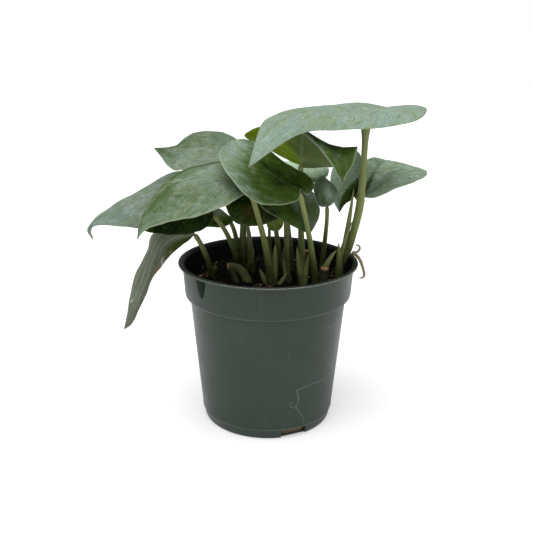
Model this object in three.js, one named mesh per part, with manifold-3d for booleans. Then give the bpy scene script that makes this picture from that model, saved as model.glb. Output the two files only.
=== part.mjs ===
// A potted platinum java scindapsus: a green nursery pot filled with potting mix, and a low crowd of
// broad silvery leaves on upright petioles. Millimetres, +Z up, the pot's base centre at the origin,
// the front of the plant towards -Y.
import * as THREE from "three";
import { mergeVertices } from "three/addons/utils/BufferGeometryUtils.js";
import Module from "manifold-3d";

const wasm = await Module();
wasm.setup();

// Driving dimensions of the pot.
const POT_HEIGHT = 100;
const RIM_RADIUS = 54.3;
const RIM_INNER_RADIUS = 51.7;
const BAND_TOP_RADIUS = 51.8;
const BAND_LOW_RADIUS = 50.6;
const BODY_TOP_RADIUS = 47.6;
const BODY_LOW_RADIUS = 40.8;
const FOOT_RADIUS = 39.4;
const WALL = 1.3;
const PLATE = 1.6;
const BAND_BOTTOM = 79.4;
const BAND_LEDGE = 0.8;
const LIP_DEPTH = 1.7;
const FOOT_SEAM = 6.4;
const SEAM_RISE = 0.3;
const POT_SEGMENTS = 48;
const DRAIN_SLOTS = 3;
const DRAIN_FIRST_ANGLE = -66;
const DRAIN_WIDTH = 16;
const DRAIN_TOP = 5.4;
const DRAIN_DEPTH = 3.5;

// Driving dimensions of the filling, the leaves and the stems.
const SOIL_LEVEL = 88;
const SOIL_LUMP = 1.1;
const SOIL_RINGS = 7;
const SOIL_SEGMENTS = 32;
const GAP = 0.35;
const BLADE_THICKNESS = 0.7;
const BLADE_ROWS = 20;
const BLADE_COLUMNS = 3;
const SMALL_ROWS = 12;
const SMALL_COLUMNS = 3;
const STEM_SIDES = 8;
const STEM_STEPS = 10;
const STUB_STEPS = 6;
const SHEATH_SIDES = 6;
const SHEATH_STEPS = 5;
const SHEATH_TIP = 0.35;
const SHEATH_TAPER = 0.8;
const PETIOLE_TAPER = 2.2;
const FLARE_START = 0.85;

// How every blade is drawn: how fast the places on the midrib follow those on the margin, and how the
// rows of places crowd towards the petiole.
const RIB_PACE = 1.5;
const ROW_PACE = 1.25;

// Each blade: places on the midrib from the petiole to the tip, places on the right and on the left
// margin on the way from the petiole to the tip, the side the upper face looks to, and the swell of
// either half.
const BLADES = {
  leaf_crown: {
    midrib: [
      [56, 3, 185], [41, -4, 188], [23.5, -15, 190], [8, -35, 188], [-3, -55, 180],
      [-10, -70, 168],
    ],
    right: [
      [63.5, 18, 186], [78, 30, 187], [69, 42, 188], [57.5, 40, 190], [44, 32, 189],
      [28.5, 18, 188], [14.5, 0, 188.5], [4, -20, 188.5], [-3.5, -38, 186], [-7, -54, 178],
    ],
    left: [
      [74, 12, 190], [83.5, 8, 192], [89.5, 0, 190.5], [87, -8, 187.5], [80.5, -15, 185],
      [71.5, -20, 184], [61, -22, 182], [46, -25, 181.5], [32.5, -32, 182], [19.5, -42, 182],
      [9, -52, 179], [0, -61, 174],
    ],
    face: [0, -0.15, 1],
    swell: [2, 1.5],
  },
  leaf_arched: {
    midrib: [
      [19, 10, 156], [19, 6, 168], [20.5, -6, 178], [26.5, -23, 175], [35, -35, 168],
      [39, -45, 157],
    ],
    right: [
      [14, 14, 157], [9.5, 20, 158.5], [1, 26, 162], [-8.5, 30, 166], [-14.5, 30, 169.5],
      [-15, 27, 172], [-11, 22, 175], [-4, 14, 178], [8, -2, 180], [19, -20, 178],
      [26, -29, 173], [30, -34, 168.5], [34.5, -39, 163], [37, -43, 159],
    ],
    left: [
      [23.5, 14, 154], [31, 14, 154], [38.5, 8, 155.5], [44.5, -4, 162], [49, -18, 171],
      [47.5, -25, 167.5], [45, -33, 163], [41.5, -40, 160],
    ],
    face: [0, -0.2, 1],
    swell: [2, -3],
  },
  leaf_rear_middle: {
    midrib: [[58, 13, 153], [55, 14, 149], [50.5, 15, 143.5], [45, 14.5, 136], [43.5, 13, 126.5]],
    right: [
      [57, 24, 158], [55.5, 36, 160.5], [49.5, 44, 158], [43, 46, 151], [40, 42, 144],
      [39.5, 34, 137], [40.5, 25, 131.5],
    ],
    left: [[56.5, 9, 150], [55, 9, 143], [51.5, 11, 136], [46.5, 12, 131.5]],
    face: [-0.5, -0.7, 0.6],
    swell: [2, 1],
  },
  leaf_centre: {
    midrib: [
      [17.5, -26, 149], [9, -23, 152], [-1, -19, 158], [-9, -15, 164], [-19, -6, 168.5],
      [-22.5, 7, 170.5],
    ],
    right: [
      [21, -28, 146], [23.5, -24, 146.5], [25.5, -18, 148.5], [25, -12, 151], [21, -6, 154],
      [15, -2, 156], [9, 2, 159], [2, 6, 164], [-5, 9, 168], [-14, 10, 171],
    ],
    left: [
      [16, -36, 145], [11, -41, 144], [5, -43, 143.5], [-3.5, -46, 144.5], [-12, -46, 149.5],
      [-20.5, -42, 158], [-25.5, -34, 164], [-27.5, -22, 168], [-24.5, -6, 170.5],
    ],
    face: [0, -0.4, 1],
    swell: [-1, -1.5],
  },
  leaf_right: {
    midrib: [[58, 18, 135], [64, 36, 143], [71, 52, 147.5], [80, 75, 148.5]],
    right: [
      [64, 14, 135.5], [71.5, 15, 138], [80, 18, 141.5], [89, 24, 143], [97.5, 33, 144.5],
      [102, 43, 145.5], [102, 53, 146], [96.5, 62, 147], [87.5, 69, 148],
    ],
    left: [
      [54, 17, 133.5], [53, 24, 136.5], [54.5, 34, 140.5], [57.5, 46, 145], [63, 58, 150],
      [70, 68, 151.5],
    ],
    face: [0, -0.2, 1],
    swell: [2, 1.5],
  },
  leaf_rear_flat: {
    midrib: [[8, 20, 148], [18, 22, 151], [28, 24, 150.5], [37.5, 28, 150]],
    right: [[10, 14, 146], [19, 14, 147], [26.5, 18, 144], [32, 23, 145], [36.5, 27, 146.5]],
    left: [[4, 30, 152], [13.5, 38, 154], [25, 42, 154], [34, 38, 152]],
    face: [0, -0.2, 1],
    swell: [1, 2],
    small: true,
  },
  leaf_knob: {
    midrib: [[35.5, 8, 131], [34.5, 0, 137], [33, 0, 143], [33, 6, 148], [33.5, 14, 148]],
    right: [[38.5, 6, 133.5], [41, 5, 138], [40.5, 6, 142.5], [37, 9, 146]],
    left: [[31, 6, 132], [28.5, 4, 135.5], [27, 4, 141], [27, 7, 145], [30, 11, 147.5]],
    face: [0, -1, 0.6],
    swell: [1.5, 1.5],
    small: true,
  },
  leaf_hanging_middle: {
    midrib: [[10, -7, 147], [12.5, -12, 137], [18.5, -14, 130], [22, -13.5, 126], [25, -12, 120.5]],
    right: [
      [3, -9, 146], [-6, -16, 139.5], [-3, -18, 135.5], [1.5, -18, 132.5], [6, -18, 130],
      [12, -18, 126.5], [17.5, -17, 123.5], [21.5, -14, 121],
    ],
    left: [
      [20, -4, 147], [26, -6, 142.5], [28.5, -5, 137], [30, -6, 133], [29.5, -8, 128.5],
      [27.5, -10, 124.5],
    ],
    face: [0, -1, 0.5],
    swell: [1.5, 1.5],
  },
  leaf_dark: {
    midrib: [[0, -2, 137], [-8, -4, 140], [-16, -8, 140], [-25, -13, 137]],
    right: [[3, 6, 141], [-8, 9, 145], [-18, 4, 145], [-24, -5, 142]],
    left: [
      [6, -2, 132], [6, -5, 127], [-0.5, -9, 125], [-6.5, -12.5, 124], [-13.5, -16, 125],
      [-19, -17, 127], [-22.5, -16.5, 131.5],
    ],
    face: [0, -0.6, 1],
    swell: [2, 3],
  },
  leaf_front_left: {
    midrib: [
      [-10.5, -24, 149.5], [-21.5, -25, 152.5], [-31.5, -27, 152], [-42, -31, 149],
      [-51, -38, 144.5], [-60.5, -46, 139], [-66.5, -52, 133], [-69, -54, 127],
    ],
    right: [
      [-16.5, -6, 157], [-29.5, -4, 160], [-39.5, -5, 158], [-48.5, -9, 156],
      [-56.5, -17, 152], [-63.5, -27, 145], [-67, -37, 139], [-69, -45, 134],
    ],
    left: [
      [-11, -34, 149], [-16, -42, 147], [-23, -48, 144], [-32, -52, 141], [-41, -55, 139],
      [-51, -57, 137.5], [-60, -58, 135], [-65, -57, 132],
    ],
    face: [0, -0.2, 1],
    swell: [1.5, 1.5],
  },
  leaf_shaded_left: {
    midrib: [[-32.5, -6, 128], [-42.5, -12, 134], [-54, -22, 135], [-63.5, -32, 132], [-68, -40, 128]],
    right: [[-33.5, -3, 133], [-42.5, -3, 138], [-54.5, -6, 139], [-64, -18, 137], [-68, -30, 133]],
    left: [
      [-35.5, -10, 123.5], [-39.5, -17, 122], [-46.5, -26, 122], [-56, -34, 124],
      [-62.5, -38, 126],
    ],
    face: [0, -0.2, 1],
    swell: [1, 1],
  },
  leaf_far_left: {
    midrib: [
      [-31.5, 13, 128], [-44.5, 15, 137], [-58.5, 15, 139.5], [-72, 13, 136.5],
      [-84, 10, 131.5], [-95, 6, 127], [-103, 3, 122.5], [-107.5, 1, 117.5], [-105.5, -1, 112],
    ],
    right: [
      [-26.5, 18, 131], [-28.5, 26, 136], [-37.5, 30, 139], [-48.5, 36, 146], [-60, 34, 147],
      [-71.5, 30, 141.5], [-83, 25, 135.5], [-93.5, 18, 130.5], [-100, 12, 126.5],
      [-104.5, 7, 124], [-108, 3, 119.5], [-109, 1, 116.5],
    ],
    left: [
      [-28.5, 9.5, 126], [-24.5, 8, 124.5], [-21, 7, 122.5], [-26.5, 5, 119], [-35.5, 3, 119],
      [-50, 1, 119.5], [-65, 0, 118.5], [-78.5, -2, 119.5], [-90, -2, 120.5], [-100, -1, 121],
      [-105, 0, 119.5], [-106.5, 0, 116.5],
    ],
    face: [0, -0.3, 1],
    swell: [1.5, 1.5],
  },
  leaf_upper_left: {
    midrib: [
      [-11, 20, 150], [-24, 24, 160], [-37.5, 25, 164], [-49.5, 22, 164], [-60.5, 20, 163.5],
      [-69.5, 18, 164],
    ],
    right: [
      [-14.5, 34, 161], [-22, 40, 168], [-29.5, 43, 170.5], [-37.5, 44, 171.5], [-45, 42, 171],
      [-52, 37, 168.5], [-58, 30, 164], [-63.5, 23, 163],
    ],
    left: [
      [-19.5, 12, 154], [-30.5, 9, 157.5], [-38, 7, 155.5], [-45, 6, 154.5], [-52.5, 6, 153],
      [-57, 8, 153], [-62, 12, 156], [-65.5, 15, 160],
    ],
    face: [0, -0.3, 1],
    swell: [1.5, 1.5],
  },
  leaf_hanging_left: {
    midrib: [
      [-43, -12, 119], [-52, -13, 118], [-58, -17, 117], [-62, -21, 113], [-65.5, -23, 105],
      [-69.5, -25, 94], [-75, -27, 81.5], [-84, -28, 65],
    ],
    right: [
      [-49.5, -12, 122], [-61, -16, 123], [-67, -19, 120], [-69, -22, 113],
      [-72.5, -24, 105.5], [-77, -26, 96.5], [-79.5, -27, 86.5], [-81.5, -28, 76],
    ],
    left: [
      [-46.5, -9, 114.5], [-52.5, -9, 110], [-58, -10, 105], [-63, -12, 99], [-68, -15, 93],
      [-71.5, -19, 84.5], [-76, -23, 75], [-80, -26, 67.5],
    ],
    face: [-0.5, -1, 0.4],
    swell: [1, 1],
  },
  leaf_young: {
    midrib: [[1, 32, 123], [2.5, 31.5, 117], [5.5, 32, 108.5]],
    right: [[-2, 32, 121], [-1.5, 32, 116], [0, 32, 111]],
    left: [[7, 32, 122], [9.5, 32, 118.5], [9, 32, 112.5]],
    face: [0, -1, 0.1],
    swell: [0.5, 0.5],
    small: true,
  },
};

// Each stem node: one or more petioles as four points each, with the radius at the foot and at the
// top, and for the thickest one the radius that it flares to under its leaf; then the pointed sheaths
// fused to it, as three points and a radius at the foot.
const STEMS = {
  stem_crown: {
    petioles: [
      { path: [[35, 8, 78], [56, 7.5, 104], [56, 5, 140], [56, 3, 184]], foot: 3.2, top: 1.8, flare: 3 },
      { path: [[45, 8, 95], [55, 11, 113], [58, 12, 133], [58, 12.8, 151]], foot: 2.2, top: 1.1 },
      { path: [[45, 8, 95], [54, 13, 112], [57.5, 16, 126], [58, 17.6, 133.8]], foot: 2.2, top: 1.2 },
    ],
    sheaths: [
      { path: [[45, 7, 92], [49, 7, 122], [51, 7, 143]], foot: 1.8 },
      { path: [[44, 1, 86], [43, 1, 100], [42.5, 0.5, 110.5]], foot: 2.4 },
      { path: [[43, 5, 86], [44, 5, 107], [51, 6, 123]], foot: 1.6 },
    ],
  },
  stem_centre: {
    petioles: [
      { path: [[30, -7, 78], [28, -9, 98], [23, -19, 125], [17.3, -26, 146]], foot: 2.6, top: 1.4 },
    ],
    sheaths: [{ path: [[29, -8, 84], [35, -7, 102], [41, -3, 107]], foot: 2.2 }],
  },
  stem_arched: {
    petioles: [{ path: [[21, -11, 78], [20, -7, 102], [19, 4, 130], [19, 9.5, 155]], foot: 3.2, top: 1.5 }],
    sheaths: [
      { path: [[21, -11, 86], [23, -8, 98], [24, -6, 105]], foot: 2 },
      { path: [[21, -11, 86], [18, -8, 100], [17, -6, 110]], foot: 2 },
    ],
  },
  stem_hanging_middle: {
    petioles: [{ path: [[13, -7, 78], [11, -5, 105], [10, -2, 130], [10, -6, 146]], foot: 2.4, top: 1.3 }],
    sheaths: [{ path: [[13, -7, 84], [10, -6, 96], [9, -5, 103]], foot: 1.8 }],
  },
  stem_front_left: {
    petioles: [
      { path: [[2, -11, 78], [2, -12, 103], [-4, -17, 124], [-10.5, -23.5, 148.3]], foot: 3.2, top: 1.5 },
    ],
    sheaths: [
      { path: [[2, -11, 84], [4, -10, 100], [4, -10, 112]], foot: 3 },
      { path: [[2, -11, 84], [-3, -12, 92], [-5, -12, 98]], foot: 2.2 },
      { path: [[3, -11, 82], [9, -10, 90], [11, -10, 95]], foot: 1.6 },
    ],
  },
  stem_rear_left: {
    petioles: [
      { path: [[-15, 13, 78], [-16, 13, 105], [-17, 16, 128], [-11, 20, 149]], foot: 3.6, top: 1.6 },
      { path: [[-18, 13, 88], [-19, 13, 108], [-20, 15, 120], [-30.5, 13.5, 127.3]], foot: 2, top: 1.3 },
      { path: [[-17, 14, 84], [-20, 10, 102], [-24, -3, 118], [-31.3, -6.2, 127.6]], foot: 2.6, top: 1.3 },
    ],
    sheaths: [
      { path: [[-13, 12, 88], [-10, 12, 97], [-9, 12, 103]], foot: 2.2 },
      { path: [[-11, 12, 84], [-10, 13, 104], [-14, 14, 124]], foot: 2.6 },
    ],
  },
  stem_dark: {
    petioles: [{ path: [[6, 8, 78], [8, 8, 100], [5, 4, 120], [0.5, -1, 136]], foot: 2.4, top: 1.3 }],
    sheaths: [{ path: [[6, 8, 84], [8, 7, 98], [10, 7, 106]], foot: 1.8 }],
  },
  stem_rear_flat: {
    petioles: [{ path: [[16, 16, 78], [14, 18, 110], [10, 20, 128], [8, 20, 147]], foot: 2.3, top: 1.2 }],
    sheaths: [],
  },
  stem_knob: {
    petioles: [
      { path: [[34, 20, 78], [34.5, 20, 100], [36.5, 12, 118], [35.5, 8.6, 129.8]], foot: 2.2, top: 1.2 },
    ],
    sheaths: [],
  },
  stem_hanging_left: {
    petioles: [
      { path: [[-33, 3, 78], [-35, -1, 98], [-38.3, -8, 110], [-42.6, -11, 117.4]], foot: 2.4, top: 1.4 },
    ],
    sheaths: [],
  },
  stem_young: {
    petioles: [{ path: [[2, 36, 78], [1, 38, 95], [0, 38, 112], [1, 33.2, 122.5]], foot: 1.6, top: 0.9 }],
    sheaths: [],
  },
};

// Cut and broken stumps: the path as three points, the radius at the foot and at the cut end. The
// left one leans on a second limb that joins it at the cut end.
const STUBS = {
  stub_left: {
    path: [[-11, -9, 80], [-13, -4, 98], [-24, 0, 95]],
    foot: 3,
    top: 2.3,
    limb: { path: [[-17, -9.5, 80], [-19, -6, 90], [-23, -0.5, 94.5]], foot: 2.8, top: 2.1 },
  },
  stub_right: { path: [[33, -12, 80], [33, -12, 90], [33.5, -12, 99]], foot: 3.2, top: 2.4 },
  stub_rear: { path: [[25, 34, 80], [25, 34, 88], [25, 34, 96]], foot: 2.4, top: 1.8 },
  bud_left: { path: [[-35, 10, 80], [-34, 9, 90], [-32, 8, 93]], foot: 2.6, top: 1.2 },
};

const AERIAL_ROOT = {
  path: [[51.2, 3.8, 104], [57.2, 2, 100.7], [62, -3, 88.3], [54.8, -6, 90.6]],
  curl: [[51.8, 3.8, 103.6], [56.5, 3, 103.5], [57, 3, 109], [53.2, 3.2, 108.5]],
  foot: 1,
  top: 0.6,
};

const COLOURS = {
  pot: 0x33463c,
  soil: 0x17130f,
  leaf: 0x7f9c85,
  stem: 0x71823f,
  stub: 0x7c7a45,
  root: 0x8a7a5c,
};

// A repeatable number from 0 to 1 for a pair of whole numbers.
function scatter(a, b) {
  const value = Math.sin(a * 127.1 + b * 311.7) * 43758.5453;
  return value - Math.floor(value);
}

function solidFrom(positions, triangles) {
  const geometry = new THREE.BufferGeometry();
  geometry.setAttribute("position", new THREE.Float32BufferAttribute(positions, 3));
  geometry.setIndex(triangles);
  return manifoldOf(geometry);
}

function manifoldOf(geometry) {
  geometry.deleteAttribute("normal");
  geometry.deleteAttribute("uv");
  const merged = mergeVertices(geometry, 1e-4);
  return new wasm.Manifold(
    new wasm.Mesh({
      numProp: 3,
      vertProperties: new Float32Array(merged.attributes.position.array),
      triVerts: new Uint32Array(merged.index.array),
    }),
  );
}

function meshOf(name, solid, colour, roughness) {
  const mesh = solid.getMesh();
  const geometry = new THREE.BufferGeometry();
  geometry.setAttribute("position", new THREE.Float32BufferAttribute(mesh.vertProperties, 3));
  geometry.setIndex(new THREE.BufferAttribute(mesh.triVerts, 1));
  geometry.computeVertexNormals();
  const material = new THREE.MeshStandardMaterial({ color: colour, roughness, metalness: 0 });
  const made = new THREE.Mesh(geometry, material);
  made.name = name;
  return made;
}

function vector(values) {
  return new THREE.Vector3(...values);
}

function cubic(points, t) {
  const u = 1 - t;
  const weights = [u * u * u, 3 * u * u * t, 3 * u * t * t, t * t * t];
  const place = new THREE.Vector3();
  points.forEach((point, i) => place.addScaledVector(vector(point), weights[i]));
  return place;
}

function quadratic(points, t) {
  const u = 1 - t;
  const weights = [u * u, 2 * u * t, t * t];
  const place = new THREE.Vector3();
  points.forEach((point, i) => place.addScaledVector(vector(point), weights[i]));
  return place;
}

// A smooth curve through a list of places, read by the share of its length from 0 to 1.
function curveThrough(list) {
  const places = list.map(vector);
  const last = places.length - 1;
  const marks = [0];
  for (let i = 1; i <= last; i++) marks.push(marks[i - 1] + places[i].distanceTo(places[i - 1]));
  const headings = places.map((place, i) => {
    const before = Math.max(0, i - 1);
    const after = Math.min(last, i + 1);
    return places[after].clone().sub(places[before]).divideScalar(marks[after] - marks[before]);
  });
  return (share) => {
    const length = share * marks[last];
    let i = 0;
    while (i < last - 1 && marks[i + 1] < length) i++;
    const span = marks[i + 1] - marks[i];
    const t = (length - marks[i]) / span;
    const result = places[i].clone().lerp(places[i + 1], t * t * (3 - 2 * t));
    result.addScaledVector(headings[i], span * t * (1 - t) * (1 - t));
    return result.addScaledVector(headings[i + 1], -span * t * t * (1 - t));
  };
}

// The places on a blade: along runs round the margin from the notch at the petiole to the tip, across
// runs from the midrib to the margin, and half is 1 for the right half and -1 for the left one.
function bladeSurface(blade) {
  const base = blade.midrib[0];
  const tip = blade.midrib[blade.midrib.length - 1];
  const midrib = curveThrough(blade.midrib);
  const margins = [blade.right, blade.left].map((list) => curveThrough([base, ...list, tip]));
  const up = vector(blade.face).normalize();
  return (along, across, half) => {
    const side = half > 0 ? 0 : 1;
    const result = midrib(Math.pow(along, RIB_PACE)).lerp(margins[side](along), across);
    const arch = Math.sin(Math.PI * across) * Math.sqrt(Math.max(0, Math.sin(Math.PI * along)));
    return result.addScaledVector(up, blade.swell[side] * arch);
  };
}

// One closed blade: a grid of places thickened to both sides, with the notch and the tip drawn to a
// point, both faces split into triangles alike.
function bladeSolid(blade) {
  const rows = blade.small ? SMALL_ROWS : BLADE_ROWS;
  const columns = blade.small ? SMALL_COLUMNS : BLADE_COLUMNS;
  const width = 2 * columns;
  const placeAt = bladeSurface(blade);
  const grid = [];
  for (let i = 0; i <= rows; i++) {
    const even = i / rows;
    const along = 0.5 * Math.pow(even, ROW_PACE) + 0.25 * (1 - Math.cos(Math.PI * even));
    const row = [];
    for (let j = 0; j <= width; j++) {
      const across = Math.abs(j - columns) / columns;
      row.push(placeAt(Math.min(1, along), across, j < columns ? -1 : 1));
    }
    grid.push(row);
  }
  const normalAt = (i, j) => {
    const along = grid[Math.min(rows, i + 1)][j].clone().sub(grid[Math.max(0, i - 1)][j]);
    const across = grid[i][Math.min(width, j + 1)].clone().sub(grid[i][Math.max(0, j - 1)]);
    return across.cross(along).normalize();
  };
  const inner = (i) => Math.min(rows - 1, Math.max(1, i));
  const normals = grid.map((row, i) => row.map((place, j) => normalAt(inner(i), j)));
  const ends = [normals[1][columns], normals[rows - 1][columns]];
  const positions = [];
  const half = BLADE_THICKNESS / 2;
  const put = (place, normal, side) => {
    const moved = place.clone().addScaledVector(normal, side * half);
    positions.push(moved.x, moved.y, moved.z);
    return positions.length / 3 - 1;
  };
  const index = [1, -1].map((side) => {
    const first = put(grid[0][columns], ends[0], side);
    const last = put(grid[rows][columns], ends[1], side);
    return grid.map((row, i) => row.map((place, j) => {
      if (i === 0) return first;
      if (i === rows) return last;
      return put(place, normals[i][j], side);
    }));
  });
  const triangles = [];
  const add = (a, b, c) => {
    if (a !== b && b !== c && a !== c) triangles.push(a, b, c);
  };
  for (let i = 0; i < rows; i++) {
    for (let j = 0; j < width; j++) {
      const [top, low] = index;
      const split = j < columns;
      const corners = (face) => [face[i][j], face[i][j + 1], face[i + 1][j + 1], face[i + 1][j]];
      const [a, b, c, d] = corners(top);
      const [e, f, g, h] = corners(low);
      if (split) {
        add(a, b, c);
        add(a, c, d);
        add(e, g, f);
        add(e, h, g);
      } else {
        add(a, b, d);
        add(b, c, d);
        add(e, h, f);
        add(f, h, g);
      }
    }
    for (const j of [0, width]) {
      const [a, b] = [index[0][i][j], index[0][i + 1][j]];
      const [c, d] = [index[1][i][j], index[1][i + 1][j]];
      if (j === 0) {
        add(a, b, d);
        add(a, d, c);
      } else {
        add(a, d, b);
        add(a, c, d);
      }
    }
  }
  return solidFrom(positions, triangles);
}

// A round rod along a path, with a radius for each place on it and flat or pointed ends.
function rodSolid(placeAt, radiusAt, steps, sides) {
  const positions = [];
  const triangles = [];
  const places = [];
  for (let i = 0; i <= steps; i++) places.push(placeAt(i / steps));
  let across = new THREE.Vector3(1, 0, 0);
  places.forEach((place, i) => {
    const heading = places[Math.min(steps, i + 1)].clone().sub(places[Math.max(0, i - 1)]).normalize();
    across.addScaledVector(heading, -across.dot(heading)).normalize();
    const other = heading.clone().cross(across);
    for (let k = 0; k < sides; k++) {
      const angle = (2 * Math.PI * k) / sides;
      const radius = radiusAt(i / steps);
      const point = place.clone().addScaledVector(across, radius * Math.cos(angle));
      point.addScaledVector(other, radius * Math.sin(angle));
      positions.push(point.x, point.y, point.z);
    }
  });
  const start = positions.length / 3;
  positions.push(places[0].x, places[0].y, places[0].z);
  positions.push(places[steps].x, places[steps].y, places[steps].z);
  for (let k = 0; k < sides; k++) {
    const next = (k + 1) % sides;
    for (let i = 0; i < steps; i++) {
      const low = i * sides;
      const high = low + sides;
      triangles.push(low + k, low + next, high + next, low + k, high + next, high + k);
    }
    triangles.push(start, next, k);
    triangles.push(start + 1, steps * sides + k, steps * sides + next);
  }
  return solidFrom(positions, triangles);
}

function petioleSolid(petiole, extra = 0) {
  const { path, foot, top, flare } = petiole;
  const radiusAt = (t) => {
    const base = top + (foot - top) * Math.pow(1 - t, PETIOLE_TAPER);
    const late = Math.max(0, (t - FLARE_START) / (1 - FLARE_START));
    const spread = flare ? (flare - top) * late * late : 0;
    return base + spread + extra;
  };
  return rodSolid((t) => cubic(path, t), radiusAt, STEM_STEPS, STEM_SIDES);
}

function sheathSolid(sheath, extra = 0) {
  const radiusAt = (t) => sheath.foot * Math.pow(1 - t, SHEATH_TAPER) + SHEATH_TIP + extra;
  return rodSolid((t) => quadratic(sheath.path, t), radiusAt, SHEATH_STEPS, SHEATH_SIDES);
}

function stubSolid(stub, extra = 0) {
  const radiusAt = (t) => stub.foot + (stub.top - stub.foot) * t + extra;
  const rod = rodSolid((t) => quadratic(stub.path, t), radiusAt, STUB_STEPS, STEM_SIDES);
  return stub.limb ? rod.add(stubSolid(stub.limb, extra)) : rod;
}

function latheSolid(profile, segments) {
  const points = profile.map(([radius, height]) => new THREE.Vector2(radius, height));
  const geometry = new THREE.LatheGeometry(points, segments);
  geometry.rotateX(Math.PI / 2);
  return manifoldOf(geometry);
}

function potSolid() {
  const seam = SEAM_RISE;
  const outside = [
    [0, 0],
    [FOOT_RADIUS - 0.6, 0],
    [FOOT_RADIUS, 0.6],
    [BODY_LOW_RADIUS - 0.3, FOOT_SEAM - 0.4],
    [BODY_LOW_RADIUS + seam, FOOT_SEAM],
    [BODY_LOW_RADIUS + 0.1, FOOT_SEAM + 0.5],
    [BODY_TOP_RADIUS, BAND_BOTTOM - BAND_LEDGE],
    [BAND_LOW_RADIUS - 0.4, BAND_BOTTOM],
    [BAND_LOW_RADIUS, BAND_BOTTOM + 1.5],
    [BAND_TOP_RADIUS, POT_HEIGHT - LIP_DEPTH],
    [RIM_RADIUS - 0.4, POT_HEIGHT - 1.4],
    [RIM_RADIUS, POT_HEIGHT - 1],
    [RIM_RADIUS, POT_HEIGHT - 0.4],
    [RIM_RADIUS - 0.4, POT_HEIGHT],
  ];
  const inside = [
    [RIM_INNER_RADIUS, POT_HEIGHT],
    [BAND_TOP_RADIUS - WALL, POT_HEIGHT - LIP_DEPTH],
    [BAND_LOW_RADIUS - WALL, BAND_BOTTOM + 2],
    [BODY_TOP_RADIUS - WALL, BAND_BOTTOM - 1],
    [BODY_LOW_RADIUS - WALL, FOOT_SEAM],
    [FOOT_RADIUS - WALL, PLATE],
    [0, PLATE],
  ];
  let pot = latheSolid([...outside, ...inside], POT_SEGMENTS);
  for (let i = 0; i < DRAIN_SLOTS; i++) {
    const angle = THREE.MathUtils.degToRad(DRAIN_FIRST_ANGLE + (360 * i) / DRAIN_SLOTS);
    const slot = new THREE.BoxGeometry(2 * DRAIN_DEPTH, DRAIN_WIDTH, 2 * DRAIN_TOP);
    slot.translate(FOOT_RADIUS + 1, 0, 0);
    slot.rotateZ(angle);
    pot = pot.subtract(manifoldOf(slot));
  }
  return pot;
}

// The filling: an outside that follows the pot's inner wall, and a lumpy top in rings.
function soilSolid() {
  const side = [
    [FOOT_RADIUS - WALL - 2 * GAP, PLATE + GAP],
    [BODY_LOW_RADIUS - WALL - GAP, FOOT_SEAM + 0.5],
    [BODY_TOP_RADIUS - WALL - 2 * GAP, BAND_BOTTOM - 1],
    [BAND_LOW_RADIUS - WALL - 2 * GAP, BAND_BOTTOM + 6],
  ];
  const positions = [0, 0, PLATE + GAP];
  const triangles = [];
  const rings = [...side];
  for (let i = 0; i < SOIL_RINGS; i++) {
    rings.push([(BAND_LOW_RADIUS - WALL - GAP) * (1 - i / SOIL_RINGS), SOIL_LEVEL]);
  }
  rings.forEach(([radius, height], i) => {
    for (let k = 0; k < SOIL_SEGMENTS; k++) {
      const angle = (2 * Math.PI * k) / SOIL_SEGMENTS;
      const lump = i < side.length ? 0 : SOIL_LUMP * (2 * scatter(i, k) - 1);
      positions.push(radius * Math.cos(angle), radius * Math.sin(angle), height + lump);
    }
  });
  positions.push(0, 0, SOIL_LEVEL);
  const last = positions.length / 3 - 1;
  for (let k = 0; k < SOIL_SEGMENTS; k++) {
    const next = (k + 1) % SOIL_SEGMENTS;
    triangles.push(0, 1 + next, 1 + k);
    for (let i = 0; i < rings.length - 1; i++) {
      const low = 1 + i * SOIL_SEGMENTS;
      const high = low + SOIL_SEGMENTS;
      triangles.push(low + k, low + next, high + next, low + k, high + next, high + k);
    }
    const top = 1 + (rings.length - 1) * SOIL_SEGMENTS;
    triangles.push(top + k, top + next, last);
  }
  let soil = solidFrom(positions, triangles);
  for (const stem of Object.values(STEMS)) {
    for (const petiole of stem.petioles) soil = soil.subtract(petioleSolid(petiole, GAP));
    for (const sheath of stem.sheaths) soil = soil.subtract(sheathSolid(sheath, GAP));
  }
  for (const stub of Object.values(STUBS)) soil = soil.subtract(stubSolid(stub, GAP));
  return soil;
}

const group = new THREE.Group();
group.add(meshOf("pot", potSolid(), COLOURS.pot, 0.35));
group.add(meshOf("soil", soilSolid(), COLOURS.soil, 0.95));
for (const [name, stem] of Object.entries(STEMS)) {
  const bodies = stem.petioles.map((petiole) => petioleSolid(petiole));
  for (const sheath of stem.sheaths) bodies.push(sheathSolid(sheath));
  const joined = bodies.reduce((whole, body) => whole.add(body));
  group.add(meshOf(name, joined, COLOURS.stem, 0.6));
}
for (const [name, blade] of Object.entries(BLADES)) {
  group.add(meshOf(name, bladeSolid(blade), COLOURS.leaf, 0.5));
}
for (const [name, stub] of Object.entries(STUBS)) {
  group.add(meshOf(name, stubSolid(stub), COLOURS.stub, 0.7));
}
const rootRadius = (t) => AERIAL_ROOT.foot + (AERIAL_ROOT.top - AERIAL_ROOT.foot) * t;
const root = rodSolid((t) => cubic(AERIAL_ROOT.path, t), rootRadius, STEM_STEPS, SHEATH_SIDES);
const curl = rodSolid((t) => cubic(AERIAL_ROOT.curl, t), () => AERIAL_ROOT.top, STUB_STEPS, SHEATH_SIDES);
group.add(meshOf("aerial_root", root.add(curl), COLOURS.root, 0.7));

export default group;
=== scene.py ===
"""A potted platinum java scindapsus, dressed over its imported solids.

Leaf blades, stalks, pot and potting mix are worked out as surfaces with numpy, in millimetres, and
put into meshes in metres. The pot's base centre is the origin, +Z is up and -Y is the front.
"""

import itertools
import math

import bpy
import numpy as np
from mathutils import Matrix


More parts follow.
